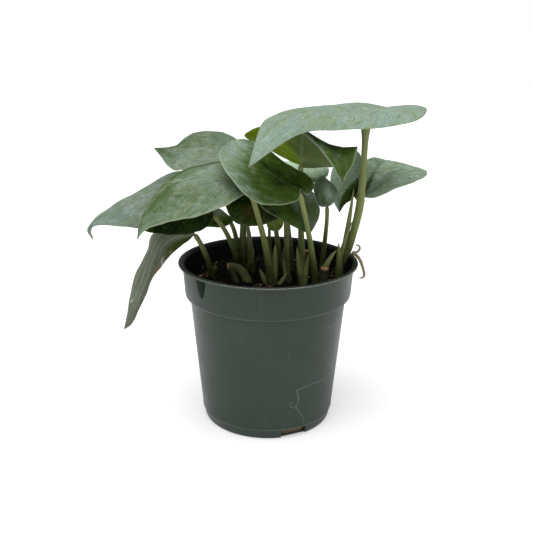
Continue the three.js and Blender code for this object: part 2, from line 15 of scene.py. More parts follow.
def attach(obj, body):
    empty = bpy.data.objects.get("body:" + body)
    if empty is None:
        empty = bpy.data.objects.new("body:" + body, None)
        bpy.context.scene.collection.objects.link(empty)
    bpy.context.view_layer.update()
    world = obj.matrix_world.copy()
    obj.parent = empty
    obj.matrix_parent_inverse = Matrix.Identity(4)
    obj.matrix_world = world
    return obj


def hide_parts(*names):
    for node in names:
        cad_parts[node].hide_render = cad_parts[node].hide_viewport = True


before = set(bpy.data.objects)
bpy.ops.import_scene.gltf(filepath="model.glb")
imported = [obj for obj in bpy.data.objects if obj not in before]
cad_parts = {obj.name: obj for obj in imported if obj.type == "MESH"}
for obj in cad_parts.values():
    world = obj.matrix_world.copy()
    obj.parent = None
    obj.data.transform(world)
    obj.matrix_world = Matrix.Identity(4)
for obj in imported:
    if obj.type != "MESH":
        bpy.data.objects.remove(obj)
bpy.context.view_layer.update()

bl_info = {
    "name": "Potted Platinum Java Scindapsus",
    "version": (1, 0, 0),
    "blender": (4, 5, 0),
    "location": "3D View > Sidebar > Potted Plant",
    "description": "Builds a young silver leaved aroid in its green nursery pot",
    "category": "Add Mesh",
}

MM = 0.001

# The camera: place, lens and sensor in millimetres, turns in degrees.
CAMERA_PLACE = (0.0, -430.0, 231.0)
CAMERA_LENS = 50.0
CAMERA_SENSOR = 36.0
CAMERA_PITCH = 17.5
CAMERA_YAW = -0.13
CAMERA_ROLL = -0.4

# The floor's half side and its depth under the pot, in millimetres, and how bright it glows.
FLOOR_REACH = 3000.0
FLOOR_DEPTH = 0.05
FLOOR_GLOW = 0.34
LIGHT_FROM = (-0.12, -0.2, 1.0)

# The pot, in millimetres, as its solid has it.
POT_HEIGHT = 100.0
RIM_RADIUS = 54.3
RIM_INNER_RADIUS = 51.7
BAND_TOP_RADIUS = 51.8
BAND_LOW_RADIUS = 50.6
BODY_TOP_RADIUS = 47.6
BODY_LOW_RADIUS = 40.8
FOOT_RADIUS = 39.4
WALL = 1.3
PLATE = 1.6
BAND_BOTTOM = 79.4
BAND_LEDGE = 0.8
LIP_DEPTH = 1.7
LIP_STEP = 0.9
FOOT_SEAM = 6.4
SEAM_RISE = 0.3
DRAIN_SLOTS = 3
DRAIN_FIRST_ANGLE = -66.0
DRAIN_WIDTH = 16.0
DRAIN_TOP = 5.4
DRAIN_DEPTH = 3.5
SOIL_LEVEL = 88.0
GAP = 0.35

# The finer form of a blade, in millimetres: breadth and depth of the groove above the midrib and
# the rib below it, height of the quilting between the side veins, and ripple of the margin.
RIB_BREADTH = 0.9
GROOVE_DEPTH = 0.3
RIB_DEPTH = 0.55
QUILT_HEIGHT = 0.12
QUILT_WAVES = 10
MARGIN_RIPPLE = 0.2
# The finer form of a stalk: rings at the foot and their height in millimetres, and depth of the
# channel as a share of the radius.
STALK_RINGS = 9
RING_HEIGHT = 0.22
CHANNEL_DEPTH = 0.16
# The blunt end of a sheath and the height of the rings on a stump, in millimetres.
SHEATH_TIP = 0.35
STUMP_RING_HEIGHT = 0.14

# How every blade is drawn, as its solid has it: how far the rows lag on the midrib and bunch at the
# notch, and how far a side vein sweeps towards the tip.
RIB_PACE = 1.5
ROW_PACE = 1.25
VEIN_SWEEP = 0.36
SMALL_BLADES = ("leaf_young", "leaf_knob", "leaf_rear_flat")

# Each blade: places on the midrib from the stalk to the tip, places on the right and on the left
# margin on the way from the stalk to the tip, the side the upper face looks to, and the swell of
# either half.
BLADES = {
    "leaf_crown": (
        [[56, 3, 185], [41, -4, 188], [23.5, -15, 190], [8, -35, 188], [-3, -55, 180], [-10, -70, 168]],
        [[63.5, 18, 186], [78, 30, 187], [69, 42, 188], [57.5, 40, 190], [44, 32, 189], [28.5, 18, 188],
         [14.5, 0, 188.5], [4, -20, 188.5], [-3.5, -38, 186], [-7, -54, 178]],
        [[74, 12, 190], [83.5, 8, 192], [89.5, 0, 190.5], [87, -8, 187.5], [80.5, -15, 185],
         [71.5, -20, 184], [61, -22, 182], [46, -25, 181.5], [32.5, -32, 182], [19.5, -42, 182],
         [9, -52, 179], [0, -61, 174]],
        [0, -0.15, 1], [2, 1.5],
    ),
    "leaf_arched": (
        [[19, 10, 156], [19, 6, 168], [20.5, -6, 178], [26.5, -23, 175], [35, -35, 168], [39, -45, 157]],
        [[14, 14, 157], [9.5, 20, 158.5], [1, 26, 162], [-8.5, 30, 166], [-14.5, 30, 169.5],
         [-15, 27, 172], [-11, 22, 175], [-4, 14, 178], [8, -2, 180], [19, -20, 178], [26, -29, 173],
         [30, -34, 168.5], [34.5, -39, 163], [37, -43, 159]],
        [[23.5, 14, 154], [31, 14, 154], [38.5, 8, 155.5], [44.5, -4, 162], [49, -18, 171],
         [47.5, -25, 167.5], [45, -33, 163], [41.5, -40, 160]],
        [0, -0.2, 1], [2, -3],
    ),
    "leaf_rear_middle": (
        [[58, 13, 153], [55, 14, 149], [50.5, 15, 143.5], [45, 14.5, 136], [43.5, 13, 126.5]],
        [[57, 24, 158], [55.5, 36, 160.5], [49.5, 44, 158], [43, 46, 151], [40, 42, 144],
         [39.5, 34, 137], [40.5, 25, 131.5]],
        [[56.5, 9, 150], [55, 9, 143], [51.5, 11, 136], [46.5, 12, 131.5]],
        [-0.5, -0.7, 0.6], [2, 1],
    ),
    "leaf_centre": (
        [[17.5, -26, 149], [9, -23, 152], [-1, -19, 158], [-9, -15, 164], [-19, -6, 168.5],
         [-22.5, 7, 170.5]],
        [[21, -28, 146], [23.5, -24, 146.5], [25.5, -18, 148.5], [25, -12, 151], [21, -6, 154],
         [15, -2, 156], [9, 2, 159], [2, 6, 164], [-5, 9, 168], [-14, 10, 171]],
        [[16, -36, 145], [11, -41, 144], [5, -43, 143.5], [-3.5, -46, 144.5], [-12, -46, 149.5],
         [-20.5, -42, 158], [-25.5, -34, 164], [-27.5, -22, 168], [-24.5, -6, 170.5]],
        [0, -0.4, 1], [-1, -1.5],
    ),
    "leaf_right": (
        [[58, 18, 135], [64, 36, 143], [71, 52, 147.5], [80, 75, 148.5]],
        [[64, 14, 135.5], [71.5, 15, 138], [80, 18, 141.5], [89, 24, 143], [97.5, 33, 144.5],
         [102, 43, 145.5], [102, 53, 146], [96.5, 62, 147], [87.5, 69, 148]],
        [[54, 17, 133.5], [53, 24, 136.5], [54.5, 34, 140.5], [57.5, 46, 145], [63, 58, 150],
         [70, 68, 151.5]],
        [0, -0.2, 1], [2, 1.5],
    ),
    "leaf_rear_flat": (
        [[8, 20, 148], [18, 22, 151], [28, 24, 150.5], [37.5, 28, 150]],
        [[10, 14, 146], [19, 14, 147], [26.5, 18, 144], [32, 23, 145], [36.5, 27, 146.5]],
        [[4, 30, 152], [13.5, 38, 154], [25, 42, 154], [34, 38, 152]],
        [0, -0.2, 1], [1, 2],
    ),
    "leaf_knob": (
        [[35.5, 8, 131], [34.5, 0, 137], [33, 0, 143], [33, 6, 148], [33.5, 14, 148]],
        [[38.5, 6, 133.5], [41, 5, 138], [40.5, 6, 142.5], [37, 9, 146]],
        [[31, 6, 132], [28.5, 4, 135.5], [27, 4, 141], [27, 7, 145], [30, 11, 147.5]],
        [0, -1, 0.6], [1.5, 1.5],
    ),
    "leaf_hanging_middle": (
        [[10, -7, 147], [12.5, -12, 137], [18.5, -14, 130], [22, -13.5, 126], [25, -12, 120.5]],
        [[3, -9, 146], [-6, -16, 139.5], [-3, -18, 135.5], [1.5, -18, 132.5], [6, -18, 130],
         [12, -18, 126.5], [17.5, -17, 123.5], [21.5, -14, 121]],
        [[20, -4, 147], [26, -6, 142.5], [28.5, -5, 137], [30, -6, 133], [29.5, -8, 128.5],
         [27.5, -10, 124.5]],
        [0, -1, 0.5], [1.5, 1.5],
    ),
    "leaf_dark": (
        [[0, -2, 137], [-8, -4, 140], [-16, -8, 140], [-25, -13, 137]],
        [[3, 6, 141], [-8, 9, 145], [-18, 4, 145], [-24, -5, 142]],
        [[6, -2, 132], [6, -5, 127], [-0.5, -9, 125], [-6.5, -12.5, 124], [-13.5, -16, 125],
         [-19, -17, 127], [-22.5, -16.5, 131.5]],
        [0, -0.6, 1], [2, 3],
    ),
    "leaf_front_left": (
        [[-10.5, -24, 149.5], [-21.5, -25, 152.5], [-31.5, -27, 152], [-42, -31, 149],
         [-51, -38, 144.5], [-60.5, -46, 139], [-66.5, -52, 133], [-69, -54, 127]],
        [[-16.5, -6, 157], [-29.5, -4, 160], [-39.5, -5, 158], [-48.5, -9, 156], [-56.5, -17, 152],
         [-63.5, -27, 145], [-67, -37, 139], [-69, -45, 134]],
        [[-11, -34, 149], [-16, -42, 147], [-23, -48, 144], [-32, -52, 141], [-41, -55, 139],
         [-51, -57, 137.5], [-60, -58, 135], [-65, -57, 132]],
        [0, -0.2, 1], [1.5, 1.5],
    ),
    "leaf_shaded_left": (
        [[-32.5, -6, 128], [-42.5, -12, 134], [-54, -22, 135], [-63.5, -32, 132], [-68, -40, 128]],
        [[-33.5, -3, 133], [-42.5, -3, 138], [-54.5, -6, 139], [-64, -18, 137], [-68, -30, 133]],
        [[-35.5, -10, 123.5], [-39.5, -17, 122], [-46.5, -26, 122], [-56, -34, 124], [-62.5, -38, 126]],
        [0, -0.2, 1], [1, 1],
    ),
    "leaf_far_left": (
        [[-31.5, 13, 128], [-44.5, 15, 137], [-58.5, 15, 139.5], [-72, 13, 136.5], [-84, 10, 131.5],
         [-95, 6, 127], [-103, 3, 122.5], [-107.5, 1, 117.5], [-105.5, -1, 112]],
        [[-26.5, 18, 131], [-28.5, 26, 136], [-37.5, 30, 139], [-48.5, 36, 146], [-60, 34, 147],
         [-71.5, 30, 141.5], [-83, 25, 135.5], [-93.5, 18, 130.5], [-100, 12, 126.5], [-104.5, 7, 124],
         [-108, 3, 119.5], [-109, 1, 116.5]],
        [[-28.5, 9.5, 126], [-24.5, 8, 124.5], [-21, 7, 122.5], [-26.5, 5, 119], [-35.5, 3, 119],
         [-50, 1, 119.5], [-65, 0, 118.5], [-78.5, -2, 119.5], [-90, -2, 120.5], [-100, -1, 121],
         [-105, 0, 119.5], [-106.5, 0, 116.5]],
        [0, -0.3, 1], [1.5, 1.5],
    ),
    "leaf_upper_left": (
        [[-11, 20, 150], [-24, 24, 160], [-37.5, 25, 164], [-49.5, 22, 164], [-60.5, 20, 163.5],
         [-69.5, 18, 164]],
        [[-14.5, 34, 161], [-22, 40, 168], [-29.5, 43, 170.5], [-37.5, 44, 171.5], [-45, 42, 171],
         [-52, 37, 168.5], [-58, 30, 164], [-63.5, 23, 163]],
        [[-19.5, 12, 154], [-30.5, 9, 157.5], [-38, 7, 155.5], [-45, 6, 154.5], [-52.5, 6, 153],
         [-57, 8, 153], [-62, 12, 156], [-65.5, 15, 160]],
        [0, -0.3, 1], [1.5, 1.5],
    ),
    "leaf_hanging_left": (
        [[-43, -12, 119], [-52, -13, 118], [-58, -17, 117], [-62, -21, 113], [-65.5, -23, 105],
         [-69.5, -25, 94], [-75, -27, 81.5], [-84, -28, 65]],
        [[-49.5, -12, 122], [-61, -16, 123], [-67, -19, 120], [-69, -22, 113], [-72.5, -24, 105.5],
         [-77, -26, 96.5], [-79.5, -27, 86.5], [-81.5, -28, 76]],
        [[-46.5, -9, 114.5], [-52.5, -9, 110], [-58, -10, 105], [-63, -12, 99], [-68, -15, 93],
         [-71.5, -19, 84.5], [-76, -23, 75], [-80, -26, 67.5]],
        [-0.5, -1, 0.4], [1, 1],
    ),
    "leaf_young": (
        [[1, 32, 123], [2.5, 31.5, 117], [5.5, 32, 108.5]],
        [[-2, 32, 121], [-1.5, 32, 116], [0, 32, 111]],
        [[7, 32, 122], [9.5, 32, 118.5], [9, 32, 112.5]],
        [0, -1, 0.1], [0.5, 0.5],
    ),
}

# How much silver the right and the left half carry, how far the tip is browned, and how pale the
# margin line is. The low silver of leaf_centre, leaf_shaded_left and leaf_dark partly paints the
# shade that the blades above cast on them.
LOOKS = {
    "leaf_crown": (0.98, 0.98, 0.5, 0.4),
    "leaf_arched": (0.56, 0.3, 0.5, 0.9),
    "leaf_rear_middle": (0.9, 0.3, 0.2, 0.4),
    "leaf_centre": (0.06, 0.12, 0.2, 0.8),
    "leaf_right": (0.8, 0.7, 0.2, 0.5),
    "leaf_rear_flat": (1.0, 1.0, 0.1, 0.6),
    "leaf_knob": (0.62, 0.62, 0.2, 0.4),
    "leaf_hanging_middle": (0.25, 0.6, 0.3, 0.7),
    "leaf_dark": (0.1, 0.1, 0.5, 0.2),
    "leaf_front_left": (0.6, 0.66, 0.4, 1.0),
    "leaf_shaded_left": (0.0, 0.0, 0.2, 0.2),
    "leaf_far_left": (0.86, 0.82, 0.6, 0.3),
    "leaf_upper_left": (0.66, 0.8, 0.3, 0.8),
    "leaf_hanging_left": (0.9, 0.9, 0.4, 0.5),
    "leaf_young": (0.3, 0.3, 0.0, 0.3),
}

# Soft patches of more or less silver: place across from the left margin at -1 to the right one at 1,
# place along the midrib, half breadth, half length and amount. Some patches of less silver are
# painted shade: on leaf_front_left along its far margin under the edge of leaf_upper_left, on
# leaf_far_left near its base and on leaf_hanging_left near its stalk. On leaf_arched they also set
# its underside between painted light shining through and painted half shade.
PATCHES_AND_PAINTED_SHADE = {
    "leaf_arched": [
        (1.0, 0.8, 0.16, 0.5, 0.35), (0.4, 0.85, 0.45, 0.3, -0.26), (-0.25, 0.65, 0.4, 0.3, 0.16),
        (-0.5, 0.15, 0.6, 0.22, -0.45),
    ],
    "leaf_rear_middle": [(-0.8, 0.5, 0.4, 0.6, -0.25)],
    "leaf_rear_flat": [(1.0, 0.5, 0.3, 0.8, -0.6)],
    "leaf_centre": [
        (0.4, 1.1, 1.0, 0.36, 0.9), (-0.5, 0.95, 0.95, 0.48, 0.95), (-1.0, 0.5, 0.35, 0.4, 0.3),
        (0.95, 0.0, 0.4, 0.3, 0.45), (-0.6, 0.05, 0.6, 0.25, 0.14), (0.0, 0.45, 0.4, 0.4, -0.16),
    ],
    "leaf_right": [
        (0.03, 0.15, 0.06, 0.35, -0.6), (-0.5, 0.1, 0.35, 0.2, -0.25), (0.4, 0.3, 0.12, 0.25, -0.2),
    ],
    "leaf_knob": [(0.2, 0.5, 0.25, 0.15, 0.4), (-0.3, 0.35, 0.3, 0.2, -0.12)],
    "leaf_hanging_middle": [(0.4, 0.95, 0.6, 0.3, 0.4), (0.9, 0.3, 0.5, 0.4, -0.2)],
    "leaf_front_left": [
        (0.35, 0.3, 0.5, 0.25, 0.25), (-0.2, 0.65, 0.3, 0.35, -0.14), (0.55, 0.7, 0.25, 0.3, -0.16),
        (1.0, 0.3, 0.1, 0.35, -0.9),
    ],
    "leaf_far_left": [(0.7, 0.3, 0.4, 0.3, -0.1), (-0.9, 0.2, 0.3, 0.3, -0.7)],
    "leaf_upper_left": [(-0.4, 0.95, 0.6, 0.2, -0.35), (0.6, 0.75, 0.4, 0.2, -0.15)],
    "leaf_hanging_left": [(-0.75, 0.12, 0.5, 0.2, -0.9)],
}

# Tint of the silver on single leaves: red, green and blue against the common silver. The strong lift
# on leaf_rear_flat is painted light on a blade that lies in the arched blade's shade, and the low
# tint on leaf_hanging_middle partly paints the shade it hangs in.
TINTS_AND_PAINTED_LIGHT = {
    "leaf_crown": (1.08, 1.06, 1.1),
    "leaf_far_left": (0.84, 0.8, 0.86),
    "leaf_upper_left": (0.9, 0.86, 0.88),
    "leaf_front_left": (0.9, 0.88, 0.86),
    "leaf_knob": (0.85, 0.85, 0.92),
    "leaf_hanging_middle": (0.4, 0.33, 0.38),
    "leaf_rear_middle": (1.05, 1.08, 1.03),
    "leaf_rear_flat": (2.2, 2.15, 2.1),
    "leaf_right": (1.1, 1.08, 1.08),
}

# Noise along the side veins from coarse to fine: steps along the blade, steps across it, start.
STREAKS = ((14.0, 2.6, 7.0), (42.0, 5.0, 0.0), (150.0, 13.0, 3.0))

# The stalks of each stem node: four points of a cubic curve, then the radius at the foot, at the top
# and under the blade.
STALKS = {
    "stem_crown": [
        ([35, 8, 78], [56, 7.5, 104], [56, 5, 140], [56, 3, 184], 3.2, 1.8, 3),
        ([45, 8, 95], [55, 11, 113], [58, 12, 133], [58, 12.8, 151], 2.2, 1.1, 1.1),
        ([45, 8, 95], [54, 13, 112], [57.5, 16, 126], [58, 17.6, 133.8], 2.2, 1.2, 1.2),
    ],
    "stem_centre": [([30, -7, 78], [28, -9, 98], [23, -19, 125], [17.3, -26, 146], 2.6, 1.4, 1.4)],
    "stem_arched": [([21, -11, 78], [20, -7, 102], [19, 4, 130], [19, 9.5, 155], 3.2, 1.5, 1.5)],
    "stem_hanging_middle": [([13, -7, 78], [11, -5, 105], [10, -2, 130], [10, -6, 146], 2.4, 1.3, 1.3)],
    "stem_front_left": [
        ([2, -11, 78], [2, -12, 103], [-4, -17, 124], [-10.5, -23.5, 148.3], 3.2, 1.5, 1.5),
    ],
    "stem_rear_left": [
        ([-15, 13, 78], [-16, 13, 105], [-17, 16, 128], [-11, 20, 149], 3.6, 1.6, 1.6),
        ([-18, 13, 88], [-19, 13, 108], [-20, 15, 120], [-30.5, 13.5, 127.3], 2, 1.3, 1.3),
        ([-17, 14, 84], [-20, 10, 102], [-24, -3, 118], [-31.3, -6.2, 127.6], 2.6, 1.3, 1.3),
    ],
    "stem_dark": [([6, 8, 78], [8, 8, 100], [5, 4, 120], [0.5, -1, 136], 2.4, 1.3, 1.3)],
    "stem_rear_flat": [([16, 16, 78], [14, 18, 110], [10, 20, 128], [8, 20, 147], 2.3, 1.2, 1.2)],
    "stem_knob": [([34, 20, 78], [34.5, 20, 100], [36.5, 12, 118], [35.5, 8.6, 129.8], 2.2, 1.2, 1.2)],
    "stem_hanging_left": [
        ([-33, 3, 78], [-35, -1, 98], [-38.3, -8, 110], [-42.6, -11, 117.4], 2.4, 1.4, 1.4),
    ],
    "stem_young": [([2, 36, 78], [1, 38, 95], [0, 38, 112], [1, 33.2, 122.5], 1.6, 0.9, 0.9)],
}

# The pointed sheaths of each stem node: three points of a curve and the radius at the foot.
SHEATHS = {
    "stem_crown": [
        ([45, 7, 92], [49, 7, 122], [51, 7, 143], 1.8),
        ([44, 1, 86], [43, 1, 100], [42.5, 0.5, 110.5], 2.4),
        ([43, 5, 86], [44, 5, 107], [51, 6, 123], 1.6),
    ],
    "stem_centre": [([29, -8, 84], [35, -7, 102], [41, -3, 107], 2.2)],
    "stem_arched": [
        ([21, -11, 86], [23, -8, 98], [24, -6, 105], 2),
        ([21, -11, 86], [18, -8, 100], [17, -6, 110], 2),
    ],
    "stem_hanging_middle": [([13, -7, 84], [10, -6, 96], [9, -5, 103], 1.8)],
    "stem_front_left": [
        ([2, -11, 84], [4, -10, 100], [4, -10, 112], 3),
        ([2, -11, 84], [-3, -12, 92], [-5, -12, 98], 2.2),
        ([3, -11, 82], [9, -10, 90], [11, -10, 95], 1.6),
    ],
    "stem_rear_left": [
        ([-13, 12, 88], [-10, 12, 97], [-9, 12, 103], 2.2),
        ([-11, 12, 84], [-10, 13, 104], [-14, 14, 124], 2.6),
    ],
    "stem_dark": [([6, 8, 84], [8, 7, 98], [10, 7, 106], 1.8)],
}

# Cut and broken stumps: three points, the radius at the foot and at the cut end. The left one leans
# on a second limb that joins it at the cut end.
STUBS = {
    "stub_left": ([-11, -9, 80], [-13, -4, 98], [-24, 0, 95], 3.0, 2.3),
    "limb_left": ([-17, -9.5, 80], [-19, -6, 90], [-23, -0.5, 94.5], 2.8, 2.1),
    "stub_right": ([33, -12, 80], [33, -12, 90], [33.5, -12, 99], 3.2, 2.4),
    "stub_rear": ([25, 34, 80], [25, 34, 88], [25, 34, 96], 2.4, 1.8),
    "bud_left": ([-35, 10, 80], [-34, 9, 90], [-32, 8, 93], 2.6, 1.2),
}

# The root that lies over the rim and its second small curl, with the radius at foot and tip.
ROOT_PATH = [[51.2, 3.8, 104], [57.2, 2, 100.7], [62, -3, 88.3], [54.8, -6, 90.6]]
ROOT_CURL = [[51.8, 3.8, 103.6], [56.5, 3, 103.5], [57, 3, 109], [53.2, 3.2, 108.5]]
ROOT_FOOT = 1.15
ROOT_TIP = 0.65
ROOT_SIDES = 14

# Marks on the pot, each along points of angle in degrees and height. Scratches have their width.
SCRATCHES = (
    ([(-25, 33.5), (-36, 33), (-49, 34.3), (-58, 33.2), (-67, 32.5), (-64.5, 27.5), (-64.5, 24),
      (-66.5, 20.1), (-62, 16), (-58.7, 13.2), (-57.9, 7.4)], 0.3),
    ([(-65, 22), (-68, 21), (-71, 21.8), (-71.5, 23.7), (-69.6, 24.6), (-68.5, 23)], 0.2),
    ([(-44.4, 68.7), (-41, 69.5), (-38.5, 67), (-36.7, 68.5), (-33, 69), (-31, 64), (-31, 60)], 0.22),
    ([(-25.3, 55), (-24.5, 52.3), (-25.5, 49)], 0.2),
)
# A painted reflection of a leaf on the pot's glossy side: points of angle and height, and its width.
PAINTED_REFLECTION = [(-138, 98.2), (-138, 93), (-137.2, 87.2)]
PAINTED_REFLECTION_WIDTH = 9.0
# Dark specks: angle in degrees, height, length in degrees and width.
SPECKS = (
    (-123, 78, 0.8, 0.5), (-121.7, 75.5, 0.6, 0.6), (-97.3, 86.2, 1.2, 0.35), (-80, 90.5, 0.9, 0.3),
    (-79, 92.5, 0.5, 0.4), (-60, 83, 0.7, 0.45), (-58.5, 86, 1.1, 0.3), (-111, 68, 0.5, 0.5),
    (-47, 44, 0.5, 0.5), (-104, 61, 0.4, 0.3), (-88, 79.5, 0.4, 0.3), (-66, 92, 0.6, 0.3),
)
# How far a thin mark and the painted leaf reflection stand proud of the wall.
MARK_LIFT = 0.03
PAINTED_REFLECTION_LIFT = 0.1

# Crumbs: how far out they lie, and low heaps of paler ones with place and half breadth. Each heap
# takes one crumb in nine and rises this much at its middle.
CRUMB_REACH = 48.2
HEAPS = ((-2, -17.5, 6), (42, 4, 6), (-38, 1, 4))
HEAP_SHARE = 9
HEAP_RISE = 1.8
MIX_SEED = 7
CRUMB_SEED = 11

SIDEWAYS = np.array([1.0, 0.0, 0.0])
REARWARD = np.array([0.0, 1.0, 0.0])


def colour_property(name, words, default):
    """A colour that a user may change."""
    return bpy.props.FloatVectorProperty(
        name=name, description=words, subtype="COLOR", size=3, min=0, max=1, default=default
    )


def number_property(name, words, default, least, most, subtype="NONE"):
    """A number that a user may change."""
    return bpy.props.FloatProperty(
        name=name, description=words, default=default, min=least, max=most, subtype=subtype
    )


def count_property(name, words, default, least, most):
    """A whole number that a user may change."""
    return bpy.props.IntProperty(name=name, description=words, default=default, min=least, max=most)


class PotSettings(bpy.types.PropertyGroup):
    """Sizes and colour of the nursery pot."""

    lip_round: number_property("Lip rounding", "Rounding of the lip in millimetres", 0.55, 0.1, 1.2)
    segments: count_property("Segments", "Faces round the pot", 192, 48, 384)
    matt: number_property("Roughness", "How matt the plastic is", 0.36, 0.05, 1, "FACTOR")
    colour: colour_property("Plastic", "Colour of the moulded plastic", (0.032, 0.045, 0.036))


class LeafSettings(bpy.types.PropertyGroup):
    """Fineness and colours of the blades."""

    rows: count_property("Rows", "Rows of faces from notch to tip", 84, 20, 160)
    columns: count_property("Columns", "Columns of faces on each half", 26, 6, 60)
    thickness: number_property("Thickness", "Blade thickness in millimetres", 0.7, 0.3, 1.2)
    silver: colour_property("Silver", "Silvered skin of the upper side", (0.285, 0.375, 0.3))
    green: colour_property("Deep green", "Bare skin of the upper side", (0.008, 0.019, 0.002))
    fresh: colour_property("Fresh green", "Bare skin where it turns lighter", (0.05, 0.095, 0.01))
    under: colour_property("Underside", "Underside of older blades", (0.05, 0.075, 0.03))
    olive: colour_property("Olive underside", "Underside in half shade", (0.13, 0.175, 0.06))
    bright: colour_property("Bright underside", "Underside with light behind", (0.17, 0.27, 0.003))
    # The young leaf's yellow-green is its own, lightened further to paint light shining through it.
    young: colour_property("Young leaf", "The small new leaf", (0.3, 0.42, 0.06))


class StemSettings(bpy.types.PropertyGroup):
    """Fineness and colours of stalks, sheaths, stumps and root."""

    sides: count_property("Sides", "Faces round a stalk", 24, 8, 64)
    steps: count_property("Steps", "Faces along a stalk", 56, 10, 120)
    stalk: colour_property("Stalk", "Stalks and sheaths", (0.15, 0.19, 0.055))
    cut: colour_property("Cut end", "Dried cut end of a stump", (0.55, 0.3, 0.15))
    root: colour_property("Aerial root", "Dry skin of the aerial root", (0.32, 0.25, 0.15))


class SoilSettings(bpy.types.PropertyGroup):
    """Fineness and colours of the potting mix."""

    crumbs: count_property("Crumbs", "Loose crumbs on the surface", 1500, 0, 4000)
    # The mix's near black is its own damp colour, darkened further to paint the shade inside the pot.
    mix: colour_property("Mix", "Damp potting mix", (0.004, 0.0035, 0.002))
    bark: colour_property("Bark", "Bark crumbs", (0.08, 0.045, 0.022))
    grit: colour_property("Grit", "Pale grit", (0.5, 0.36, 0.25))


class StageSettings(bpy.types.PropertyGroup):
    """Lights and floor."""

    sky: number_property("Surround", "Brightness of the white surround", 0.35, 0, 5)
    top: number_property("Top light", "Strength of the broad light from above", 2.3, 0, 20)
    softness: number_property("Softness", "Width of that light as an angle", 1.2, 0, 3, "ANGLE")
    floor: colour_property("Floor", "Pale floor", (0.93, 0.93, 0.93))


# Arrays and meshes.


def bezier(points, t):
    """The curve of three or four points: point k counts by the binomial weight of t^k (1-t)^(n-k)."""
    points = np.asarray(points, float)
    last = len(points) - 1
    weights = [math.comb(last, k) * t**k * (1 - t) ** (last - k) for k in range(last + 1)]
    return np.stack(weights, axis=-1) @ points


def unit(vectors):
    """Vectors divided by their lengths."""
    return vectors / np.maximum(np.linalg.norm(vectors, axis=-1, keepdims=True), 1e-9)


def smooth_step(low, high, value):
    """0 below low, 1 above high, 3t^2 - 2t^3 between."""
    t = np.clip((value - low) / (high - low), 0, 1)
    return t * t * (3 - 2 * t)


def bell(value, middle, width, power=2):
    """1 at the middle, falling as e to minus the power of the distance over the width."""
    return np.exp(-(((value - middle) / width) ** power))


def circle(count):
    """That many angles evenly round a circle."""
    return 2 * np.pi * np.arange(count) / count


def around(radius, angle, height):
    """Points at a radius and an angle about the upright axis, at a height."""
    return np.stack([radius * np.cos(angle), radius * np.sin(angle), height + 0 * angle], axis=-1)


def make_piece(name, materials, points, quads, triangles=(), uv=None, tone=None, kinds=None):
    """One mesh object at the origin from points in millimetres and arrays of corners."""
    quads = np.asarray(quads, np.int32).reshape(-1, 4)
    triangles = np.asarray(triangles, np.int32).reshape(-1, 3)
    mesh = bpy.data.meshes.new(name)
    mesh.vertices.add(len(points))
    mesh.vertices.foreach_set("co", (np.asarray(points, float) * MM).astype(np.float32).ravel())
    corners = np.concatenate([quads.ravel(), triangles.ravel()])
    triangle_starts = quads.size + np.arange(len(triangles)) * 3
    starts = np.concatenate([np.arange(len(quads)) * 4, triangle_starts])
    mesh.loops.add(len(corners))
    mesh.loops.foreach_set("vertex_index", corners)
    mesh.polygons.add(len(starts))
    mesh.polygons.foreach_set("loop_start", starts.astype(np.int32))
    mesh.polygons.foreach_set("use_smooth", np.ones(len(starts), bool))
    if kinds is not None:
        mesh.polygons.foreach_set("material_index", np.asarray(kinds, np.int32))
    for material in materials:
        mesh.materials.append(material)
    mesh.update(calc_edges=True)
    if uv is not None:
        layer = mesh.uv_layers.new(name="growth")
        layer.data.foreach_set("uv", np.asarray(uv, np.float32)[corners].ravel())
    if tone is not None:
        colours = np.ones((len(points), 4), np.float32)
        colours[:, :3] = tone
        layer = mesh.attributes.new("tone", "FLOAT_COLOR", "POINT")
        layer.data.foreach_set("color", colours.ravel())
    mesh.validate()
    piece = bpy.data.objects.new(name, mesh)
    bpy.context.scene.collection.objects.link(piece)
    return piece


def dress(piece, slot, *nodes):
    """Ties a finished piece to the body and hides the solids it stands for; the slot is not used."""
    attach(piece, "root")
    if nodes:
        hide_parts(*nodes)


def grid_quads(rows, columns, wrap=False):
    """Corners of the faces of a grid of rows by columns of points, row by row."""
    steps = columns if wrap else columns - 1
    i, j = np.meshgrid(np.arange(rows - 1), np.arange(steps), indexing="ij")
    near, far = i * columns, (i + 1) * columns
    following = (j + 1) % columns
    return np.stack([near + j, near + following, far + following, far + j], axis=-1).reshape(-1, 4)


def fan(corner, rim):
    """Triangles that join one corner to each step of a rim, taken backwards."""
    return np.stack([np.full(len(rim) - 1, corner), rim[1:], rim[:-1]], axis=-1)


def close_rings(rings, first, last):
    """A closed tube: faces between neighbouring rings of points, and a fan to a point at each end."""
    count, sides = rings.shape[:2]
    points = np.concatenate([rings.reshape(-1, 3), [first], [last]])
    rim = np.arange(sides + 1) % sides
    fans = [fan(count * sides, rim), fan(count * sides + 1, rim + (count - 1) * sides)[:, ::-1]]
    return points, grid_quads(count, sides, wrap=True), np.concatenate(fans)


def join_arrays(parts):
    """Several sets of points, quads, triangles, uv and tone as one, with the corners counted on."""
    points, quads, triangles, uv, tone = zip(*parts)
    counts = np.cumsum([0, *map(len, points)])
    quads = [faces + count for faces, count in zip(quads, counts)]
    triangles = [faces + count for faces, count in zip(triangles, counts)]
    return tuple(np.concatenate(item) for item in (points, quads, triangles, uv, tone))


# Blades.


